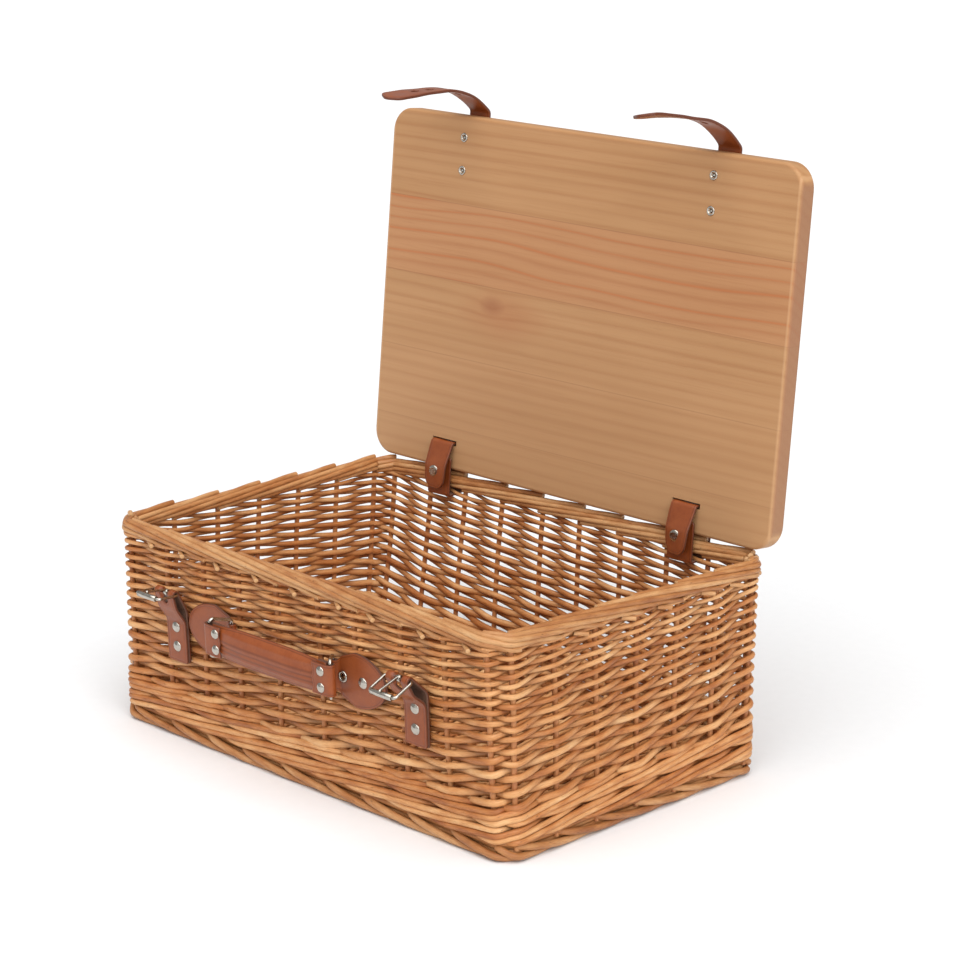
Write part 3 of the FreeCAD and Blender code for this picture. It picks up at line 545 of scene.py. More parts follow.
def willow(shades):
    """Varnished willow rod: fibres along it, darker scars, a shade of its own, paler cut ends and painted shade
    deep in the weave.
    """
    def build():
        grain, tone, cut = attribute("grain", "Vector"), attribute("tone"), attribute("cut")
        fibre = noise(scaled(grain, (0.09, 1.1, 1.1)), 1.6, 3.0, 0.6)
        fine = noise(scaled(grain, (0.22, 2.6, 2.6)), 2.0, 2.0)
        patch = noise(scaled(grain, (0.035, 0.12, 0.12)), 1.0, 2.0)
        place = plus(times(tone, 0.45), times(stretch(patch, 0.3, 0.7), 0.38))
        place = plus(place, times(stretch(fibre, 0.25, 0.75), 0.22))
        shade = ramp(place, (0.08, shades[0]), (0.38, shades[1]), (0.68, shades[2]), (1.0, shades[3]))
        shade = mix(stretch(fibre, 0.52, 0.8, 0.0, 0.34), shade, (108, 52, 22))
        scar = noise(scaled(grain, (0.16, 0.5, 0.5)), 1.3, 1.0)
        shade = mix(stretch(scar, 0.70, 0.80, 0.0, 0.6), shade, (88, 48, 28))
        rings = noise(scaled(grain, (0.0, 1.2, 1.2)), 1.5, 2.0)
        shade = mix(cut, shade, ramp(rings, (0.3, (196, 148, 100)), (0.7, (216, 174, 124))))
        # painted shade: rods darken where their surface lies deep in the weave
        shade = mix(stretch(cut, -0.95, -0.2, 0.5, 0.0), shade, (108, 50, 12))
        return {"Base Color": shade, "Roughness": stretch(fibre, 0.3, 0.7, 0.36, 0.55),
                "Normal": bumped(plus(fine, times(fibre, 0.9)), 0.55, 0.0004),
                "Coat Weight": 0.12, "Coat Roughness": 0.3, "Specular IOR Level": 0.4}
    return build


WEAVE_SHADES = ((229, 184, 132), (212, 155, 100), (186, 119, 64), (138, 72, 30))
RIM_SHADES = ((212, 167, 118), (196, 145, 95), (174, 115, 65), (140, 82, 42))
STAKE_SHADES = ((205, 150, 98), (186, 124, 76), (164, 100, 58), (128, 72, 40))
weave_material = surface("willow_weave", willow(WEAVE_SHADES))
rim_material = surface("willow_border", willow(RIM_SHADES))
stake_material = surface("willow_stake", willow(STAKE_SHADES))

# places and sizes on the board are in metres: x from its middle, z from its lower edge
PLANK_JOINTS = (0.039, 0.105, 0.175, 0.245)
WILD_PLANK = 3.0                       # cut nearer the log's middle, so its lines wander more
RING_PITCH = 0.0105
KNOT, KNOT_REACH = (-0.098, 0.1585), (0.014, 0.0085)
STAIN, STAIN_REACH = (-0.085, 0.150), (0.055, 0.026)
ARRIS_HIGHLIGHT_X, DARK_SIDE_X = 0.2378, (0.2388, 0.2402)
PINE_SHADES = ((176, 131, 87), (186, 141, 97), (155, 103, 61), (166, 116, 73))


def pine():
    """Glued pine planks: growth lines along the board, an own pattern in each plank, a knot and dark joints,
    painted light towards the lower edge, a painted highlight along each side arris and darker side faces.
    """
    place = node("TexCoord").outputs["Object"]
    local = node("Mapping", {"Vector": place, "Location": (0, LID_EDGE_Y * MM, LID_EDGE_Z * MM),
                             "Rotation": (-LID_LEAN, 0, 0)}, vector_type="TEXTURE").outputs[0]
    along, through, up = node("SeparateXYZ", {0: local}).outputs
    plank, gap = 0.0, 1.0
    for joint in PLANK_JOINTS:
        plank = plus(plank, maths("GREATER_THAN", up, joint))
        gap = maths("MINIMUM", gap, maths("ABSOLUTE", minus(up, joint)))
    wild = maths("COMPARE", plank, WILD_PLANK, 0.5)
    sway = node("TexNoise", {"Vector": scaled(local, (3.2, 7.0, 9.0)), "W": times(plank, 7.31), "Scale": 1.0,
                             "Detail": 1.5, "Roughness": 0.45}, noise_dimensions="4D").outputs[0]

    def spot(middle, reach):
        """Distance from a place on the board, 1 at the edge of an ellipse round it."""
        a = maths("DIVIDE", minus(along, middle[0]), reach[0])
        b = maths("DIVIDE", minus(up, middle[1]), reach[1])
        return maths("SQRT", plus(times(a, a), times(b, b)))

    knot = spot(KNOT, KNOT_REACH)
    line = plus(up, times(through, 0.75))
    line = plus(line, times(minus(sway, 0.5), plus(0.007, times(wild, 0.030))))
    line = plus(line, maths("DIVIDE", 0.008, plus(1.0, times(knot, knot))))
    spacing = noise(vector_of(z=line), 55.0, 2.0)
    wave = maths("SINE", plus(times(line, 2 * math.pi / RING_PITCH), times(spacing, 8.0)))
    late = maths("POWER", stretch(wave, -1.0, 1.0), 2.2)
    fibre = noise(scaled(local, (9.0, 420.0, 420.0)), 1.0, 3.0, 0.6)
    pores = noise(scaled(local, (26.0, 900.0, 900.0)), 1.0, 2.0, 0.6)
    cloud = noise(scaled(local, (4.0, 20.0, 22.0)), 1.0, 2.0)
    light = ramp(cloud, (0.3, PINE_SHADES[0]), (0.7, PINE_SHADES[1]))
    dark = ramp(cloud, (0.3, PINE_SHADES[2]), (0.7, PINE_SHADES[3]))
    strength = plus(stretch(spacing, 0.3, 0.7, 0.2, 0.62), times(wild, 0.25))
    shade = mix(times(late, strength), light, dark)
    tint = noise(vector_of(x=times(plank, 3.7)), 1.0)
    stain = times(stretch(spot(STAIN, STAIN_REACH), 0.2, 1.1, 0.42, 0.0), stretch(cloud, 0.3, 0.6, 0.5, 1.0))
    side = maths("ABSOLUTE", along)
    for share, over in (
            (stretch(tint, 0.35, 0.65, 0.0, 0.16), (176, 122, 82)),
            (times(wild, 0.22), (190, 122, 84)),
            (times(wild, stretch(times(late, spacing), 0.42, 0.62, 0.0, 0.65)), (192, 106, 54)),
            (stretch(fibre, 0.5, 0.85, 0.0, 0.3), (156, 100, 62)),
            (stretch(pores, 0.6, 0.8, 0.0, 0.25), (140, 92, 60)),
            (stain, (168, 98, 58)),
            (stretch(plus(knot, times(fibre, 0.5)), 0.5, 1.5, 0.5, 0.0), (142, 78, 48)),
            (stretch(gap, 0.0002, 0.0006, 0.4, 0.0), (140, 92, 60)),
            # painted light: the board is lighter towards its lower edge
            (stretch(up, 0.02, 0.2, 0.32, 0.0), (198, 158, 118)),
            # painted highlight along the arris at each side of the board
            (stretch(maths("ABSOLUTE", minus(side, ARRIS_HIGHLIGHT_X)), 0.0004, 0.0014, 0.45, 0.0), (204, 160, 118)),
            # the board's side faces are darker
            (stretch(side, *DARK_SIDE_X, 0.0, 0.75), (148, 104, 76))):
        shade = mix(share, shade, over)
    return {"Base Color": shade, "Roughness": stretch(fibre, 0.3, 0.7, 0.48, 0.6),
            "Normal": bumped(plus(times(late, 0.6), fibre), 0.2, 0.0003), "Specular IOR Level": 0.35}


def nickel():
    """Plated steel: bright, a little uneven, duller in patches, and painted dark as shade in recesses."""
    place = node("TexCoord").outputs["Object"]
    patch = noise(place, 240.0, 3.0)
    scratch = noise(scaled(place, (2600, 300, 2600)), 1.0, 2.0)
    shade = ramp(patch, (0.3, (172, 166, 156)), (0.7, (194, 188, 178)))
    # painted shade: recess points of turned parts are darkened
    return {"Base Color": mix(attribute("cut"), shade, (46, 36, 30)), "Metallic": 1.0,
            "Roughness": plus(stretch(patch, 0.3, 0.7, 0.1, 0.2), times(scratch, 0.05))}


LEATHER_SHADES = ((130, 62, 26), (146, 75, 34), (112, 50, 20), (88, 36, 15))
PRESSED_LINE = 1.9                     # from the leather's edge to the line pressed along it


def tan_leather():
    """Waxed tan leather with fine pores, darker dyed edges and a rough greyish back."""
    flat, edge = attribute("flat", "Vector"), attribute("edge")
    across, along, face = node("SeparateXYZ", {0: flat}).outputs
    place = vector_of(x=across, y=along)
    cells = node("TexVoronoi", {"Vector": place, "Scale": 1.25, "Randomness": 0.9}).outputs[0]
    patch, cloud = noise(place, 0.06, 4.0, 0.6), noise(place, 0.35, 3.0, 0.6)
    shade = ramp(patch, (0.3, LEATHER_SHADES[0]), (0.7, LEATHER_SHADES[1]))
    shade = mix(stretch(cloud, 0.45, 0.8, 0.0, 0.35), shade, LEATHER_SHADES[2])
    shade = mix(stretch(cells, 0.0, 0.35, 0.22, 0.0), shade, LEATHER_SHADES[3])
    fuzz = noise(place, 1.6, 4.0, 0.7)
    back = maths("LESS_THAN", face, 0.0)
    shade = mix(back, shade, ramp(fuzz, (0.3, (104, 74, 58)), (0.7, (134, 102, 84))))
    # the grip's low edge values along its groove also darken here, as painted shade
    shade = mix(stretch(edge, 0.1, 0.75, 0.75, 0.0), shade, (80, 38, 22))
    pressed = maths("ABSOLUTE", minus(edge, PRESSED_LINE))
    shade = mix(stretch(pressed, 0.1, 0.6, 0.5, 0.0), shade, (80, 36, 18))
    height = plus(cells, times(fuzz, times(back, 2.0)))
    return {"Base Color": shade, "Roughness": plus(stretch(patch, 0.3, 0.7, 0.3, 0.46), times(back, 0.4)),
            "Normal": bumped(height, 0.28, 0.00018), "Specular IOR Level": 0.3,
            "Coat Weight": 0.25, "Coat Roughness": 0.4}


pine_material = surface("pine_board", pine)
nickel_material = surface("nickel", nickel)
leather_material = surface("tan_leather", tan_leather)


# ---- basket ----
weaves = {name: Shape() for name in WALLS}
for strand in range(STAKES):
    weave_rod(weaves, strand)
basket_pieces = [("weave_" + name, shape.build("willow_weave_" + name, weave_material), "willow_weave")
                 for name, shape in weaves.items()]

upsett = Shape()
for turn in range(WALE_ROUNDS):
    for strand in range(STAKES):
        waling_rod(upsett, strand, WALE_LOW + turn * 3 * WALE_STEP)
basket_pieces += [("upsett_", upsett.build("willow_upsett", weave_material), "willow_weave"),
                  ("rim_", rim_border().build("willow_rim", rim_material), "willow_border")]
foot = Shape()
for strand in range(STAKES):
    foot_rod(foot, strand)
foot_ring(foot)
basket_pieces += [("foot_", foot.build("willow_foot", rim_material), "willow_border"),
                  ("stakes_", stake_rods().build("willow_stakes", stake_material), "willow_stake"),
                  ("base_", base_mat().build("willow_base", weave_material), "willow_weave")]
for start, piece, slot in basket_pieces:
    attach(piece, "basket")
    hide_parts(*[name for name in sorted(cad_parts) if name.startswith(start)])

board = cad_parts["lid_board"]
board.data.materials.clear()
board.data.materials.append(pine_material)


# ---- paths and plates for leather and metal ----
def rounded_path(corners, radii, step=0.5):
    """Points along a line whose corners are turned by arcs, one radius for each inner corner."""
    corners = np.asarray(corners, float)
    line = [corners[:1]]
    for before, here, after, radius in zip(corners, corners[1:], corners[2:], radii):
        arrive, leave = unit(here - before), unit(after - here)
        turn = math.acos(max(-1.0, min(1.0, float(arrive @ leave))))
        if turn < 0.01:
            line.append(here[None])
            continue
        reach = radius * math.tan(turn / 2)
        inward = unit(leave - arrive)
        centre = here + inward * radius / math.cos(turn / 2)
        steps = max(3, int(radius * turn / step) + 1)
        angle = np.linspace(0, turn, steps)[:, None]
        first = here - arrive * reach - centre
        line.append(centre + first * np.cos(angle) + arrive * radius * np.sin(angle))
    line.append(corners[-1:])
    return evenly(np.concatenate(line), step)


def evenly(line, step):
    """The same line with points at even steps."""
    line = np.asarray(line, float)
    at = np.r_[0, np.cumsum(np.linalg.norm(np.diff(line, axis=0), axis=1))]
    places = np.linspace(0, at[-1], max(2, int(at[-1] / step) + 1))
    return np.column_stack([np.interp(places, at, line[:, k]) for k in range(line.shape[1])])


def path_length(line):
    return float(np.linalg.norm(np.diff(line, axis=0), axis=1).sum())


def in_loop(points, loop):
    """Whether each point lies inside a closed loop."""
    x, y = points[:, 0][:, None], points[:, 1][:, None]
    a, b = loop[None], np.roll(loop, -1, axis=0)[None]
    crosses = (a[..., 1] > y) != (b[..., 1] > y)
    with np.errstate(divide="ignore", invalid="ignore"):
        at = a[..., 0] + (y - a[..., 1]) * (b[..., 0] - a[..., 0]) / (b[..., 1] - a[..., 1])
    return (crosses & (x < at)).sum(1) % 2 == 1


def loop_distance(points, loop):
    """How far each point is from a closed loop."""
    a, b = loop, np.roll(loop, -1, axis=0)
    along = b - a
    t = ((points[:, None] - a[None]) * along[None]).sum(2) / np.maximum((along ** 2).sum(1), 1e-12)
    near = a[None] + np.clip(t, 0, 1)[..., None] * along[None]
    return np.linalg.norm(points[:, None] - near, axis=2).min(1)


def grown(loop, amount):
    """A counter-clockwise loop moved outward by an amount."""
    before = unit(loop - np.roll(loop, 1, axis=0))
    after = unit(np.roll(loop, -1, axis=0) - loop)
    out_before = np.column_stack([before[:, 1], -before[:, 0]])
    out_after = np.column_stack([after[:, 1], -after[:, 0]])
    share = 1 + (out_before * out_after).sum(1, keepdims=True)
    return loop + (out_before + out_after) / np.maximum(share, 0.5) * amount


OUTLINE_STEP, HOLE_SIDES = 1.4, 20


def closed(points):
    """A loop with points at even steps; the points are given once each."""
    points = np.asarray(points, float)
    return evenly(np.concatenate([points, points[:1]]), OUTLINE_STEP)[:-1]


def round_corners(corners, radii, step=OUTLINE_STEP):
    """A loop of straight lines with rounded corners, which starts and ends on its last side."""
    corners = np.asarray(corners, float)
    start = (corners[-1] + corners[0]) / 2
    return rounded_path(np.concatenate([start[None], corners, start[None]]), radii, step)


def strip(full, half, radii):
    """The outline of a strap's flat shape: its length, half width and corner radii."""
    return round_corners([(0, -half), (full, -half), (full, half), (0, half)], radii)[:-1]


def circle(u, v, radius, stretch_u=0.0):
    """A hole's outline, stretched to a slot along the strap."""
    angle = 2 * np.pi * np.arange(HOLE_SIDES) / HOLE_SIDES
    shift = np.where(np.cos(angle) > 0, stretch_u, -stretch_u)
    return np.column_stack([u + radius * np.cos(angle) + shift, v + radius * np.sin(angle)])


class Bend:
    """How a flat plate is bent: a line of places in space, and the plate's crosswise direction."""

    def __init__(self, line, side, face, twist=None):
        self.line = np.asarray(line, float)
        self.at = np.r_[0, np.cumsum(np.linalg.norm(np.diff(self.line, axis=0), axis=1))]
        self.tangent = unit(np.gradient(self.line, axis=0))
        self.side = np.asarray(side, float)
        self.face, self.twist = face, twist

    def place(self, u, v, w):
        point = np.column_stack([np.interp(u, self.at, self.line[:, k]) for k in range(3)])
        tangent = unit(np.column_stack([np.interp(u, self.at, self.tangent[:, k]) for k in range(3)]))
        side = np.broadcast_to(self.side, point.shape)
        normal = unit(np.cross(tangent, side)) * self.face
        if self.twist:
            angle = self.twist(u)[:, None]
            side, normal = (side * np.cos(angle) + normal * np.sin(angle),
                            normal * np.cos(angle) - side * np.sin(angle))
        return point + side * v[:, None] + normal * w[:, None]


EDGE_ROUND = 0.7
EDGE_INSETS = (0.0, 0.22, 0.6, 1.15, PRESSED_LINE, 2.6)   # rings of points inside a plate's outline
HOLE_REACHES = (0.0, 0.25, 0.7)        # and round each hole


def leather(name, outline, bend, thick, holes=(), cell=(1.1, 2.3), wave=0.12, lined=False):
    """A leather plate with soft edges and a pressed line along them, bent as it lies on the basket.

    cell is the spacing of its points, wave its unevenness. A lined plate is smooth on both sides.
    """
    if (outline[:, 0] * np.roll(outline[:, 1], -1) - np.roll(outline[:, 0], -1) * outline[:, 1]).sum() < 0:
        outline = outline[::-1]
    rings = [grown(outline, -inset) for inset in EDGE_INSETS]
    rings += [grown(hole, reach) for hole in holes for reach in HOLE_REACHES]
    low, high = outline.min(0), outline.max(0)
    grid = np.stack(np.meshgrid(np.arange(low[0], high[0], cell[0]), np.arange(low[1], high[1], cell[1])),
                    axis=-1).reshape(-1, 2)
    grid = grid[in_loop(grid, outline)]
    grid = grid[loop_distance(grid, outline) > 3.0]
    for hole in holes:
        grid = grid[~in_loop(grid, hole)]
        grid = grid[loop_distance(grid, hole) > 1.1]
    lines, count = [], 0
    for loop in rings:
        lines += [(count + k, count + (k + 1) % len(loop)) for k in range(len(loop))]
        count += len(loop)
    points = np.concatenate(rings + [grid])
    flat, _, triangles, origins, _, _ = delaunay_2d_cdt([Vector(p) for p in points], lines, [], 1, 1e-5)
    flat = np.array([tuple(p) for p in flat])
    triangles = np.array([t for t in triangles if len(t) == 3])
    middles = flat[triangles].mean(1)
    kept = in_loop(middles, outline)
    for hole in holes:
        kept &= ~in_loop(middles, hole)
    triangles = triangles[kept]
    corner = flat[triangles]
    first, second = corner[:, 1] - corner[:, 0], corner[:, 2] - corner[:, 0]
    area = first[:, 0] * second[:, 1] - first[:, 1] * second[:, 0]
    triangles = np.where((area < 0)[:, None], triangles[:, ::-1], triangles)
    edge = loop_distance(flat, outline)
    outer = edge.copy()
    for hole in holes:
        edge = np.minimum(edge, loop_distance(flat, hole))
    inward = np.clip(EDGE_ROUND - edge, 0, None)
    drop = EDGE_ROUND - np.sqrt(np.maximum(EDGE_ROUND ** 2 - inward ** 2, 0))
    line = 0.24 * np.exp(-((outer - PRESSED_LINE) / 0.35) ** 2)
    u, v = flat.T
    ripple = wave * (np.sin(u * 0.21 + v * 0.09) + 0.6 * np.sin(u * 0.083 - v * 0.27 + 1.0))
    top = bend.place(u, v, thick / 2 - drop - line + ripple)
    bottom = bend.place(u, v, -thick / 2 + drop + ripple)
    size = len(flat)
    faces = np.concatenate([triangles, triangles[:, ::-1] + size])
    where = {}
    for place, sources in enumerate(origins):
        for source in sources:
            where.setdefault(source, place)
    walls = []
    offset = 0
    borders = {0} | {len(EDGE_INSETS) + len(HOLE_REACHES) * k for k in range(len(holes))}
    for number, loop in enumerate(rings):
        if number in borders:
            names = [where[offset + k] for k in range(len(loop))]
            walls += [(a, a + size, b + size, b) for a, b in zip(names, names[1:] + names[:1])]
        offset += len(loop)
    sheet = np.column_stack([u, v, np.ones(size)])
    under = np.column_stack([u, v, np.full(size, 1.0 if lined else -1.0)])
    piece = make_piece(name, np.concatenate([top, bottom]), faces.tolist() + walls,
                       {"flat": np.concatenate([sheet, under]), "edge": np.concatenate([edge, edge])},
                       leather_material, outward=True)
    return piece


def turned(shape, centre, axis, profile, sides=28, dark=()):
    """A turned metal part: profile is (radius, height along the axis), dark the points of it in a recess, which
    are painted dark as shade.
    """
    axis = unit(np.asarray(axis, float))
    across = unit(np.cross(axis, (0.3, 0.2, 0.93)))
    other = np.cross(axis, across)
    angle = 2 * np.pi * np.arange(sides) / sides
    profile = np.asarray(profile, float)
    ring_of = across * np.cos(angle)[:, None] + other * np.sin(angle)[:, None]
    centre = np.asarray(centre, float)
    points = (centre + profile[:, :1, None] * ring_of + profile[:, 1:, None] * axis).reshape(-1, 3)
    faces = ring_faces(len(profile), sides)[:, [0, 3, 2, 1]]
    shape.add(points, faces, points - centre, 0.5, np.repeat(np.isin(np.arange(len(profile)), dark), sides))


def wire_loop(shape, corners, bend, radius):
    """A closed rectangular wire with bent corners."""
    line = round_corners(corners, [bend] * len(corners), 0.5)
    across = np.linalg.svd(line - line.mean(0))[2][2]
    tube(shape, line, across + 0.001, radius, radius, 0.5, sides=14, caps=(False, False))


# ---- where the leather and the metal are ----
lean_sin, lean_cos = math.sin(LID_LEAN), math.cos(LID_LEAN)


def on_lid(y, z):
    """(y, z) of a place given through the board and up it, with the lid open as in the CAD."""
    return np.column_stack([LID_EDGE_Y + np.asarray(y, float) * lean_cos + np.asarray(z, float) * lean_sin,
                            LID_EDGE_Z - np.asarray(y, float) * lean_sin + np.asarray(z, float) * lean_cos])


def in_row(x, line):
    """A line in the plane of a strap, as points in space."""
    return np.column_stack([np.full(len(line), float(x)), line])


WALL_LEAN = math.atan((DEPTH_TOP - DEPTH_BOTTOM) / 2 / HEIGHT)
wall_sin, wall_cos = math.sin(WALL_LEAN), math.cos(WALL_LEAN)


def front_y(z):
    """The front wall's outer face at a height."""
    return -((DEPTH_BOTTOM + (DEPTH_TOP - DEPTH_BOTTOM) * z / HEIGHT) / 2 + WALL_HALF)


def on_front(x, out, up, middle_x, middle_z):
    """Places on the front wall: along it, out of it and up it from a middle."""
    x, out, up = np.broadcast_arrays(np.asarray(x, float), out, up)
    return np.column_stack([middle_x + x, front_y(middle_z) - out * wall_cos - up * wall_sin,
                            middle_z - out * wall_sin + up * wall_cos])


def eased(share):
    """A share held within 0 and 1, which starts and ends softly."""
    share = np.clip(share, 0, 1)
    return share * share * (3 - 2 * share)


# closure straps: screwed to the outside of the board, over its edge, and out
ANCHOR_START, TAIL_START, STRAP_OUT = 261.0, 327.5, 18.75
TAIL_ARCS = {"left": ((4.5, 50.0), (75.0, 43.0), (634.0, 6.2)),
             "right": ((4.5, 45.5), (79.0, 39.4), (634.0, 7.5))}
HOLE_PLACE, HOLE_STEP = {"left": 73.105, "right": 80.307}, 18.0
TIP_WEAR = {"left": 0.0, "right": 11.0}          # how much shorter a strap is than in the CAD, as in the photo
TAIL_TWIST = {"left": math.radians(-6), "right": math.radians(13)}
TIP_POINT, TWIST_START, TWIST_REACH = 7.7, 60, 60


def strap_line(side):
    line = [(STRAP_OUT, ANCHOR_START), (STRAP_OUT, TAIL_START)]
    heading = 0.0
    for radius, turn in TAIL_ARCS[side]:
        start_y, start_z = line[-1]
        for part in np.linspace(0, math.radians(turn), 24)[1:]:
            line.append((start_y + radius * (math.cos(heading + part) - math.cos(heading)),
                         start_z + radius * (math.sin(heading + part) - math.sin(heading))))
        heading += math.radians(turn)
    return evenly(np.array(line), 0.8)


def closure_strap(side):
    line = strap_line(side)
    full = path_length(line) - TIP_WEAR[side]
    half = STRAP_WIDTH / 2 - 0.1
    anchor = TAIL_START - ANCHOR_START
    point = full - TIP_POINT
    outline = round_corners([(0, -half), (point, -half), (full - 0.3, 0), (point, half), (0, half)],
                            [3.0, 9.0, 7.0, 9.0, 3.0])[:-1]
    holes = [circle(anchor + HOLE_PLACE[side] + HOLE_STEP * number, 0, 2.6, 1.6) for number in (-2, -1, 0, 1)]
    places = on_lid(line[:, 0], line[:, 1])

    def twist(u):
        return TAIL_TWIST[side] * eased((u - anchor - TWIST_START) / TWIST_REACH)

    bend = Bend(in_row(SIDES[side] * STRAP_X, places), (1, 0, 0), 1, twist)
    piece = leather("leather_strap_" + side, outline, bend, LEATHER, holes, lined=True)
    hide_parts(f"closure_strap_{side}", f"closure_strap_{side}_anchor")
    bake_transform(piece)


for strap_side in SIDES:
    closure_strap(strap_side)


# hinge straps: from the wall, through the board's slot and back into the wall
HINGE_WIDTH, HINGE_LAYER = 27.5, 2.2
HINGE_TURN, HINGE_TURN_REACH = {"left": math.radians(8), "right": math.radians(16)}, 42


def hinge_blend(piece):
    """Applies a piece of the hinge's placement to its points."""
    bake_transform(piece)


def hinge_strap(side):
    slot_in, slot_out, edge_out = on_lid([-2.2, 19.7, 19.7], [25, 25, 0])
    corners = [(141.5, 175.0), (143.4, 196.0), slot_in, slot_out, edge_out, (170.6, 170.0), (148.2, 168.0),
               (150.2, 204.0)]
    line = rounded_path(corners, [14.0, 1.9, 2.2, 8.0, 3.0, 1.6])
    full = path_length(line)
    half = HINGE_WIDTH / 2
    outline = strip(full, half, [10.0, 2.0, 2.0, 10.0])
    x = SIDES[side] * STRAP_X

    def turn(u):
        return HINGE_TURN[side] * eased(1 - u / HINGE_TURN_REACH)

    piece = leather("leather_hinge_" + side, outline, Bend(in_row(x, line), (1, 0, 0), -1, turn), HINGE_LAYER)
    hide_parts("hinge_strap_" + side)
    hinge_blend(piece)


for strap_side in SIDES:
    hinge_strap(strap_side)

# chapes: folded straps that hold the buckles
CHAPE_LOW, CHAPE_RISE = {"left": 75.0, "right": 78.0}, 42.0
BAR = {"left": (-175.3, 140.0), "right": (-182.5, 138.8)}
LAYER, BAR_WRAP, FRAME_WIRE = 2.3, 2.5, 1.3
CHAPE_BELLY, CHAPE_RIVETS = {"left": 4.8, "right": 6.0}, (14.5, 32.0)


def chape(side):
    low, bend_z = CHAPE_LOW[side], CHAPE_LOW[side] + CHAPE_RISE
    bar = np.array(BAR[side])

    def wall(out, z):
        return np.array([front_y(z) - out, z])

    towards = unit(bar - wall(2.5, bend_z))
    under = np.array([towards[1], -towards[0]])
    if under[1] > 0:
        under = -under
    belly = (wall(3.75, bend_z) + bar) / 2 + under * CHAPE_BELLY[side]
    corners = [wall(3.75, low), wall(3.75, bend_z - 4), belly, bar + under * BAR_WRAP + towards * BAR_WRAP,
               bar - under * BAR_WRAP + towards * BAR_WRAP, wall(1.3, bend_z + 5), wall(1.3, low)]
    line = rounded_path(corners, [12.0, 16.0, BAR_WRAP - 0.05, BAR_WRAP - 0.05, 9.0])
    full = path_length(line)
    half = STRAP_WIDTH / 2 - 0.1
    outline = strip(full, half, [2.2] * 4)
    wrap = int(np.argmin(np.linalg.norm(line - (bar + towards * BAR_WRAP), axis=1)))
    middle = path_length(line[:wrap + 1])
    notch = circle(middle - 2.0, 0, 3.5, 7.2)
    x = SIDES[side] * STRAP_X
    piece = leather("leather_chape_" + side, outline, Bend(in_row(x, line), (1, 0, 0), -1), LAYER,
                    [notch], cell=(1.0, 2.2), wave=0.05)
    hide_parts("buckle_chape_" + side)
    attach(piece, "basket")


for strap_side in SIDES:
    chape(strap_side)

# handle pads: leather folded round the rings' wall bars
HANDLE_X, HANDLE_Z = -10.0, 114.5
PAD_HALF_SPAN, PAD_REACH, PAD_HALF_HEIGHT, PAD_ROUND = 62.5, 59.5, 23.5, 36.0
PAD_NARROW, PAD_FOLD_HALF, PAD_LAYER, RING_OUT, RING_WIRE = 14.57, 13.2, 1.45, 4.5, 1.6
EYELET_OFFSET, EYELET_HOLE, PAD_RIVET_OFFSET = 9.5, 3.6, 33.0
wall_up = np.array([0, -wall_sin, wall_cos])
wall_out = np.array([0, -wall_cos, -wall_sin])


def on_handle(x, out, up):
    """Places round the handle, from its middle on the front wall."""
    return on_front(x, out, up, HANDLE_X, HANDLE_Z)


def handle_pad(side):
    sign = SIDES[side]
    bar = sign * PAD_HALF_SPAN
    wrap = RING_WIRE + 0.8
    corners = [(bar + sign * PAD_REACH, 0.75), (bar + sign * 5.0, 0.75), (bar - sign * wrap, RING_OUT - wrap),
               (bar - sign * wrap, RING_OUT + wrap), (bar + sign * 1.0, RING_OUT + wrap),
               (bar + sign * 6.0, 2.25), (bar + sign * PAD_REACH, 2.25)]
    line = rounded_path(corners, [4.0, wrap - 0.6, wrap - 0.1, 2.4, 4.0])
    full = path_length(line)
    u = np.linspace(0, full, 240)
    offset = PAD_REACH - np.minimum(u, full - u)
    straight = PAD_NARROW + (PAD_HALF_HEIGHT - PAD_NARROW) * offset / (PAD_REACH - PAD_ROUND)
    curve = PAD_HALF_HEIGHT * np.sqrt(np.clip(1 - ((offset - PAD_REACH + PAD_ROUND) / PAD_ROUND) ** 2, 0, 1))
    half = np.where(offset < PAD_REACH - PAD_ROUND, straight, curve)
    ease = np.clip((offset - 3.5) / 4.0, 0, 1)
    half = half * ease + PAD_FOLD_HALF * (1 - ease) - 0.15
    half = np.maximum(half, 0)
    outline = closed(np.concatenate([np.column_stack([u, -half]), np.column_stack([u, half])[::-1][1:-1]]))
    eyelet = PAD_REACH - EYELET_OFFSET
    eyelets = [circle(place, 0, EYELET_HOLE) for place in (eyelet, full - eyelet)]
    places = on_handle(line[:, 0], line[:, 1], 0.0)
    piece = leather("leather_pad_" + side, outline, Bend(places, wall_up, sign), PAD_LAYER, eyelets,
                    cell=(1.2, 2.0), wave=0.03)
    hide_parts("handle_pad_" + side)
    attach(piece, "basket")


for strap_side in SIDES:
    handle_pad(strap_side)

# ---- handle grip ----
RING_LENGTH, RING_LEFT, RING_RIGHT = 20.5, math.radians(76.0), math.radians(48.0)
RING_HALF_HEIGHT, RING_LIFT = 16.5, {"left": 5.5, "right": 3.0}
left_bar = np.array([-PAD_HALF_SPAN, RING_OUT])
right_bar = np.array([PAD_HALF_SPAN, RING_OUT])
left_end = left_bar + RING_LENGTH * np.array([-math.cos(RING_LEFT), math.sin(RING_LEFT)])
right_end = right_bar + RING_LENGTH * np.array([math.cos(RING_RIGHT), math.sin(RING_RIGHT)])
grip_along = unit(right_end - left_end)
grip_out = np.array([-grip_along[1], grip_along[0]])
grip_length = float(np.linalg.norm(right_end - left_end))
GRIP_END_HALF, GRIP_FLAP, GRIP_FOLD, FLAP_LAYER = 13.6, 17.4, 3.4, 1.7
GRIP_RIVET_IN = {"left": 11.5, "right": 7.0}
GRIP_FROM_END = (0, 13, 25, 44)        # where the next two rows of sizes are given
GRIP_HALF_HEIGHTS, GRIP_THICKS = (13.5, 13.6, 15.0, 15.9), (2.2, 2.5, 4.6, 6.0)
GRIP_RIBS = ((1.0, 1.0, 1.3), (-0.8, -1.8, 1.1), (0.6, -8.5, 1.4), (0.5, 9.5, 1.5))  # rise, middle, reach


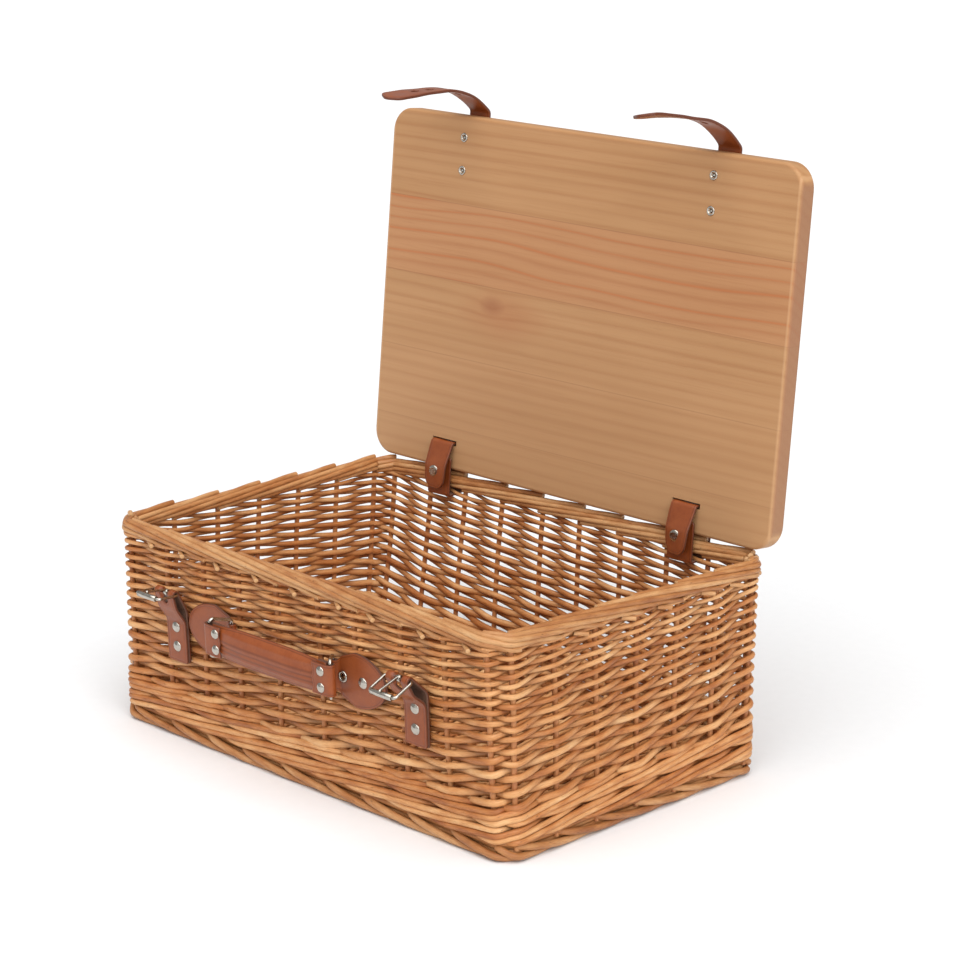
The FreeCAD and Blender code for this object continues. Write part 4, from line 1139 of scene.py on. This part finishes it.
def on_grip(along, out, up):
    """Places on the grip: from its left ring along it, out of it and up it."""
    along, out, up = np.broadcast_arrays(np.asarray(along, float), out, up)
    flat = left_end + along[:, None] * grip_along + out[:, None] * grip_out
    lift = RING_LIFT["left"] + (RING_LIFT["right"] - RING_LIFT["left"]) * along / grip_length
    return on_handle(flat[:, 0], flat[:, 1], up + lift)


def grip_body():
    """The stuffed part of the grip: two leathers closed along their edges, with a rib along the front."""
    along = np.linspace(4.5, grip_length - 4.5, 90)
    ends = np.minimum(along, grip_length - along)
    half, thick = (smoothed(np.interp(ends, GRIP_FROM_END, sizes), np.full(9, 1 / 9))
                   for sizes in (GRIP_HALF_HEIGHTS, GRIP_THICKS))
    around = 72
    angle = 2 * np.pi * np.arange(around) / around
    up = np.sign(np.sin(angle)) * np.abs(np.sin(angle)) ** 0.8
    front = np.cos(angle) >= 0
    q = np.clip(np.abs(up), 0, 1)
    belly = np.clip(1 - (q / 0.86) ** 2.2, 0, None) ** 0.75
    flange = 1.1 * np.sqrt(np.clip(1 - q ** 14, 0, 1))
    rows = []
    for at, h, t in zip(along, half, thick):
        rib = sum(rise * np.exp(-((up * h - middle) / reach) ** 2) for rise, middle, reach in GRIP_RIBS)
        out = np.where(front, flange + (t - 1.1) * belly + rib * (q < 0.8), -(flange + (t - 1.6) * belly * 0.8))
        rows.append(on_grip(np.full(around, at), out, up * h))
    ends_of = [on_grip([at], 0.6, 0.0)[0] for at in (along[0], along[-1])]
    points = np.concatenate(rows + [ends_of])
    count = around * len(along)
    ring = list(zip(range(around), list(range(1, around)) + [0]))
    first = [(count, b, a) for a, b in ring]
    last = [(count + 1, count - around + a, count - around + b) for a, b in ring]
    flat = np.column_stack([np.repeat(along, around), np.concatenate([up * h for h in half]), np.ones(count)])
    flat = np.concatenate([flat, [[along[0], 0, 1], [along[-1], 0, 1]]])
    crease_shade = 0.22 + 0.4 * np.abs(up[None] * half[:, None] + 1.9)          # painted shade: a darker line in the groove under the rib
    edge = np.concatenate([np.minimum(np.abs(h - np.abs(up * h)), np.where(front, row_crease_shade, 9.0))
                           for h, row_crease_shade in zip(half, crease_shade)] + [np.zeros(2)])
    piece = make_piece("leather_grip", points, ring_faces(len(along), around).tolist() + first + last,
                       {"flat": flat, "edge": edge}, leather_material, outward=True)
    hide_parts("handle_grip")
    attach(piece, "grip")


def grip_flap(side):
    """The grip's end: leather folded round the ring and riveted over the stuffed part."""
    start, sign = (0.0, 1) if side == "left" else (grip_length, -1)
    corners = [(start + sign * along, out) for along, out in
               ((16.0, -2.7), (-GRIP_FOLD, -GRIP_FOLD), (-GRIP_FOLD, GRIP_FOLD), (5.0, 4.1), (GRIP_FLAP, 4.1))]
    line = rounded_path(corners, [GRIP_FOLD - 0.2, GRIP_FOLD - 0.2, 7.0])
    full = path_length(line)
    half = GRIP_END_HALF
    v = np.linspace(-half, half, 24)
    edge_wave = full - 0.8 + 0.8 * np.cos(v / half * 2.2 * np.pi)        # the flap's cut end is wavy
    outline = closed(np.concatenate([[(0, half), (0, -half)], np.column_stack([edge_wave, v])]))
    places = on_grip(line[:, 0], line[:, 1], 0.0)
    piece = leather("leather_grip_flap_" + side, outline, Bend(places, wall_up, sign), FLAP_LAYER,
                    cell=(1.1, 2.0), wave=0.05)
    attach(piece, "grip")


grip_body()
for strap_side in SIDES:
    grip_flap(strap_side)

# ---- metal ----
# Profiles of the turned parts: radius, and height above the leather or the board.
DOME = [(0.0, 2.4), (1.0, 2.32), (2.0, 2.08), (3.0, 1.66), (3.85, 1.12), (4.5, 0.55), (4.85, 0.2), (4.9, 0.0),
        (4.6, -0.4), (1.8, -0.5), (1.8, -6.0), (0.0, -6.0)]
GRIP_DOME = [(radius * 0.88, height * 0.9) for radius, height in DOME[:-2]] + [(1.6, -3.5), (0.0, -3.5)]


def metal(name, shape, body, *nodes):
    piece = shape.build(name, nickel_material)
    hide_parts(*nodes)
    if body:
        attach(piece, body)
    return piece


caps = Shape()
for strap_side, sign in SIDES.items():
    for rise in CHAPE_RIVETS:
        turned(caps, on_front([0], 5.0, rise, sign * STRAP_X, CHAPE_LOW[strap_side])[0], wall_out, DOME)
metal("rivets_chape", caps, "basket", "buckle_chape_rivets")

caps, eyelets = Shape(), Shape()
EYELET = [(3.65, -3.0), (3.05, -3.0), (3.0, 0.4), (3.35, 0.9), (3.9, 1.05), (4.6, 0.78), (5.0, 0.2), (5.0, 0.0),
          (3.65, 0.0), (3.65, -3.0)]
for strap_side, sign in SIDES.items():
    x = sign * (PAD_HALF_SPAN + PAD_RIVET_OFFSET)
    turned(caps, on_handle([x], 3.0, 0.0)[0], wall_out, DOME)
    x = sign * (PAD_HALF_SPAN + EYELET_OFFSET)
    turned(eyelets, on_handle([x], 3.0, 0.0)[0], wall_out, EYELET)
metal("rivets_pad", caps, "basket", "handle_pad_rivets")
metal("eyelets", eyelets, "basket", "handle_pad_eyelets")

caps = Shape()
grip_normal = unit(on_grip([0.0], 1.0, 0.0)[0] - on_grip([0.0], 0.0, 0.0)[0])
for along in (GRIP_RIVET_IN["left"], grip_length - GRIP_RIVET_IN["right"]):
    for up in (-7.0, 7.0):
        turned(caps, on_grip([along], 5.0, up)[0], grip_normal, GRIP_DOME)
metal("rivets_grip", caps, "grip", "handle_grip_rivets")

HINGE_CAP = [(0.0, 1.2), (2.0, 1.2), (4.2, 1.1), (5.0, 0.75), (5.3, 0.25), (5.3, 0.0), (1.8, -0.1), (1.8, -4.0),
             (3.0, -4.1), (3.0, -4.9), (0.0, -4.9)]
for strap_side, sign in SIDES.items():
    caps = Shape()
    turned(caps, (sign * STRAP_X - 0.5, 141.9, 191.0), (0.14, -1, 0.02), HINGE_CAP)
    piece = metal("rivet_hinge_" + strap_side, caps, None, *(["hinge_strap_rivets"] if sign < 0 else []))
    hinge_blend(piece)

SCREW = [(0.0, 0.25), (0.9, 0.2), (1.2, -0.5), (2.2, -0.6), (2.6, 0.5), (3.2, 0.95), (3.9, 0.75), (4.3, 0.1),
         (4.2, -0.1), (1.9, -0.2), (1.9, -17.0), (0.0, -17.0)]
SCREW_DROPS = (19.5, 49.3)             # below the board's free edge
screws = Shape()
for sign in SIDES.values():
    for drop in SCREW_DROPS:
        y, z = on_lid([0.0], [LID_DEPTH - drop])[0]
        # the recess of each screw head is painted dark as shade
        turned(screws, (sign * STRAP_X, y, z), (0, -lean_cos, lean_sin), SCREW, dark=(2, 3))
metal("screws_strap", screws, "lid", "strap_screws")

# buckles and rings
FRAME_DROP = {"left": math.radians(-2.0), "right": math.radians(25.2)}
FRAME_LENGTH, FRAME_HALF, FRAME_BEND = 21.0, 14.7, 3.0
ROLLER_RADIUS, ROLLER_BORE, ROLLER_HALF = 2.6, 1.5, 11.6


def on_buckle(side, x, away, rise):
    """Places on a buckle: across it, from its bar towards its roller, and off its face."""
    drop = FRAME_DROP[side]
    x, away, rise = np.broadcast_arrays(np.asarray(x, float), away, rise)
    y, z = BAR[side]
    return np.column_stack([SIDES[side] * STRAP_X + x, y - away * math.cos(drop) - rise * math.sin(drop),
                            z - away * math.sin(drop) + rise * math.cos(drop)])


for strap_side in SIDES:
    shape = Shape()
    half, axle = FRAME_HALF, FRAME_LENGTH
    corners = on_buckle(strap_side, [-half, half, half, -half], [0, 0, axle, axle], 0.0)
    wire_loop(shape, corners, FRAME_BEND, FRAME_WIRE)
    metal("buckle_wire_" + strap_side, shape, "buckle_" + strap_side, "buckle_frame_" + strap_side)
    shape = Shape()
    middle = on_buckle(strap_side, [0.0], axle, 0.0)[0]
    h, r, b = ROLLER_HALF, ROLLER_RADIUS, ROLLER_BORE
    turned(shape, middle, (1, 0, 0), [(b, -h), (r - 0.25, -h), (r, -h + 0.25), (r, 0), (r, h - 0.25),
                                      (r - 0.25, h), (b, h), (b, 0), (b, -h)], sides=32)
    metal("buckle_tube_" + strap_side, shape, "roller_" + strap_side, "buckle_roller_" + strap_side)

for strap_side, wall_bar, outer_bar in (("left", left_bar, left_end), ("right", right_bar, right_end)):
    shape = Shape()
    high, lift = RING_HALF_HEIGHT, RING_LIFT[strap_side]
    corners = [on_handle([bar[0]], bar[1], up)[0] for bar, up in
               ((wall_bar, -high), (wall_bar, high), (outer_bar, high + lift), (outer_bar, lift - high))]
    wire_loop(shape, corners, 3.0, RING_WIRE)
    metal("ring_" + strap_side, shape, "ring_" + strap_side, "handle_ring_" + strap_side)

PRONG_WIRE, PRONG_EYE, PRONG_EYE_BORE, PRONG_EYE_HALF = 1.2, 2.9, 1.5, 2.2
for strap_side in SIDES:
    shape = Shape()
    low_rise = PRONG_EYE - PRONG_WIRE
    high_rise = ROLLER_RADIUS + PRONG_WIRE + 0.1
    away = np.linspace(0.0, FRAME_LENGTH + 1.7, 30)
    rise = low_rise + (high_rise - low_rise) * away / FRAME_LENGTH
    thick = PRONG_WIRE * np.sqrt(np.clip(1 - np.clip((away - FRAME_LENGTH - 0.4) / 1.35, 0, 1) ** 2, 0.02, 1))
    tube(shape, on_buckle(strap_side, 0.0, away, rise), (1, 0, 0), thick, thick, 0.5, sides=14)
    h, r, b = PRONG_EYE_HALF, PRONG_EYE, PRONG_EYE_BORE
    turned(shape, on_buckle(strap_side, [0.0], 0.0, 0.0)[0], (1, 0, 0),
           [(b, -h), (r - 0.3, -h), (r, -h + 0.3), (r, h - 0.3), (r - 0.3, h), (b, h), (b, -h)])
    metal("prong_pin_" + strap_side, shape, "prong_" + strap_side, "buckle_prong_" + strap_side)

# ---- floor, light, camera ----
def floor_surface():
    place = node("TexCoord").outputs["Object"]
    grain = noise(place, 90.0, 3.0)
    return {"Base Color": ramp(grain, (0.0, (238, 239, 240)), (1.0, (242, 243, 244))), "Roughness": 0.7}


floor_mesh = bpy.data.meshes.new("floor")
floor_mesh.from_pydata([(-30, -30, 0), (30, -30, 0), (30, 30, 0), (-30, 30, 0)], [], [(0, 1, 2, 3)])
floor_mesh.materials.append(surface("pale_floor", floor_surface))
floor = bpy.data.objects.new("floor", floor_mesh)
bpy.context.scene.collection.objects.link(floor)

WORLD_LIGHT = 0.42
world = bpy.data.worlds.new("studio")
bpy.context.scene.world = world
world.use_nodes = True
world.node_tree.nodes["Background"].inputs[0].default_value = (1, 1, 1, 1)
world.node_tree.nodes["Background"].inputs[1].default_value = WORLD_LIGHT
bpy.context.scene.view_settings.view_transform = "Standard"


def soft_light(name, towards, spread, power):
    """A large, far, soft light: its direction from the basket, its angular size in degrees and its power."""
    lamp = bpy.data.lights.new(name, "SUN")
    lamp.angle, lamp.energy = math.radians(spread), power
    holder = bpy.data.objects.new(name, lamp)
    bpy.context.scene.collection.objects.link(holder)
    holder.rotation_euler = Vector(towards).to_track_quat("Z", "Y").to_euler()


soft_light("overhead", (0.2, -0.36, 1.0), 70, 2.2)
soft_light("key", (1.0, -0.4, 0.62), 40, 1.3)
soft_light("fill", (0.25, -1.0, 0.4), 60, 0.3)

AZIMUTH, ELEVATION, ROLL = (math.radians(a) for a in (44.487, 14.862, 0.908))
AIM, DISTANCE = Vector((0.052022, 0.0, 0.246712)), 2.30994
back = Vector((math.sin(AZIMUTH) * math.cos(ELEVATION), -math.cos(AZIMUTH) * math.cos(ELEVATION),
               math.sin(ELEVATION)))
level = Vector((math.cos(AZIMUTH), math.sin(AZIMUTH), 0))
above = back.cross(level)
right = level * math.cos(ROLL) + above * math.sin(ROLL)
up = above * math.cos(ROLL) - level * math.sin(ROLL)
camera_data = bpy.data.cameras.new("camera")
camera_data.sensor_width, camera_data.lens = 36.0, 103.665
camera = bpy.data.objects.new("camera", camera_data)
bpy.context.scene.collection.objects.link(camera)
camera.matrix_world = Matrix.Translation(AIM + back * DISTANCE) @ Matrix(
    [[right[i], up[i], back[i]] for i in range(3)]).to_4x4()
bpy.context.scene.camera = camera
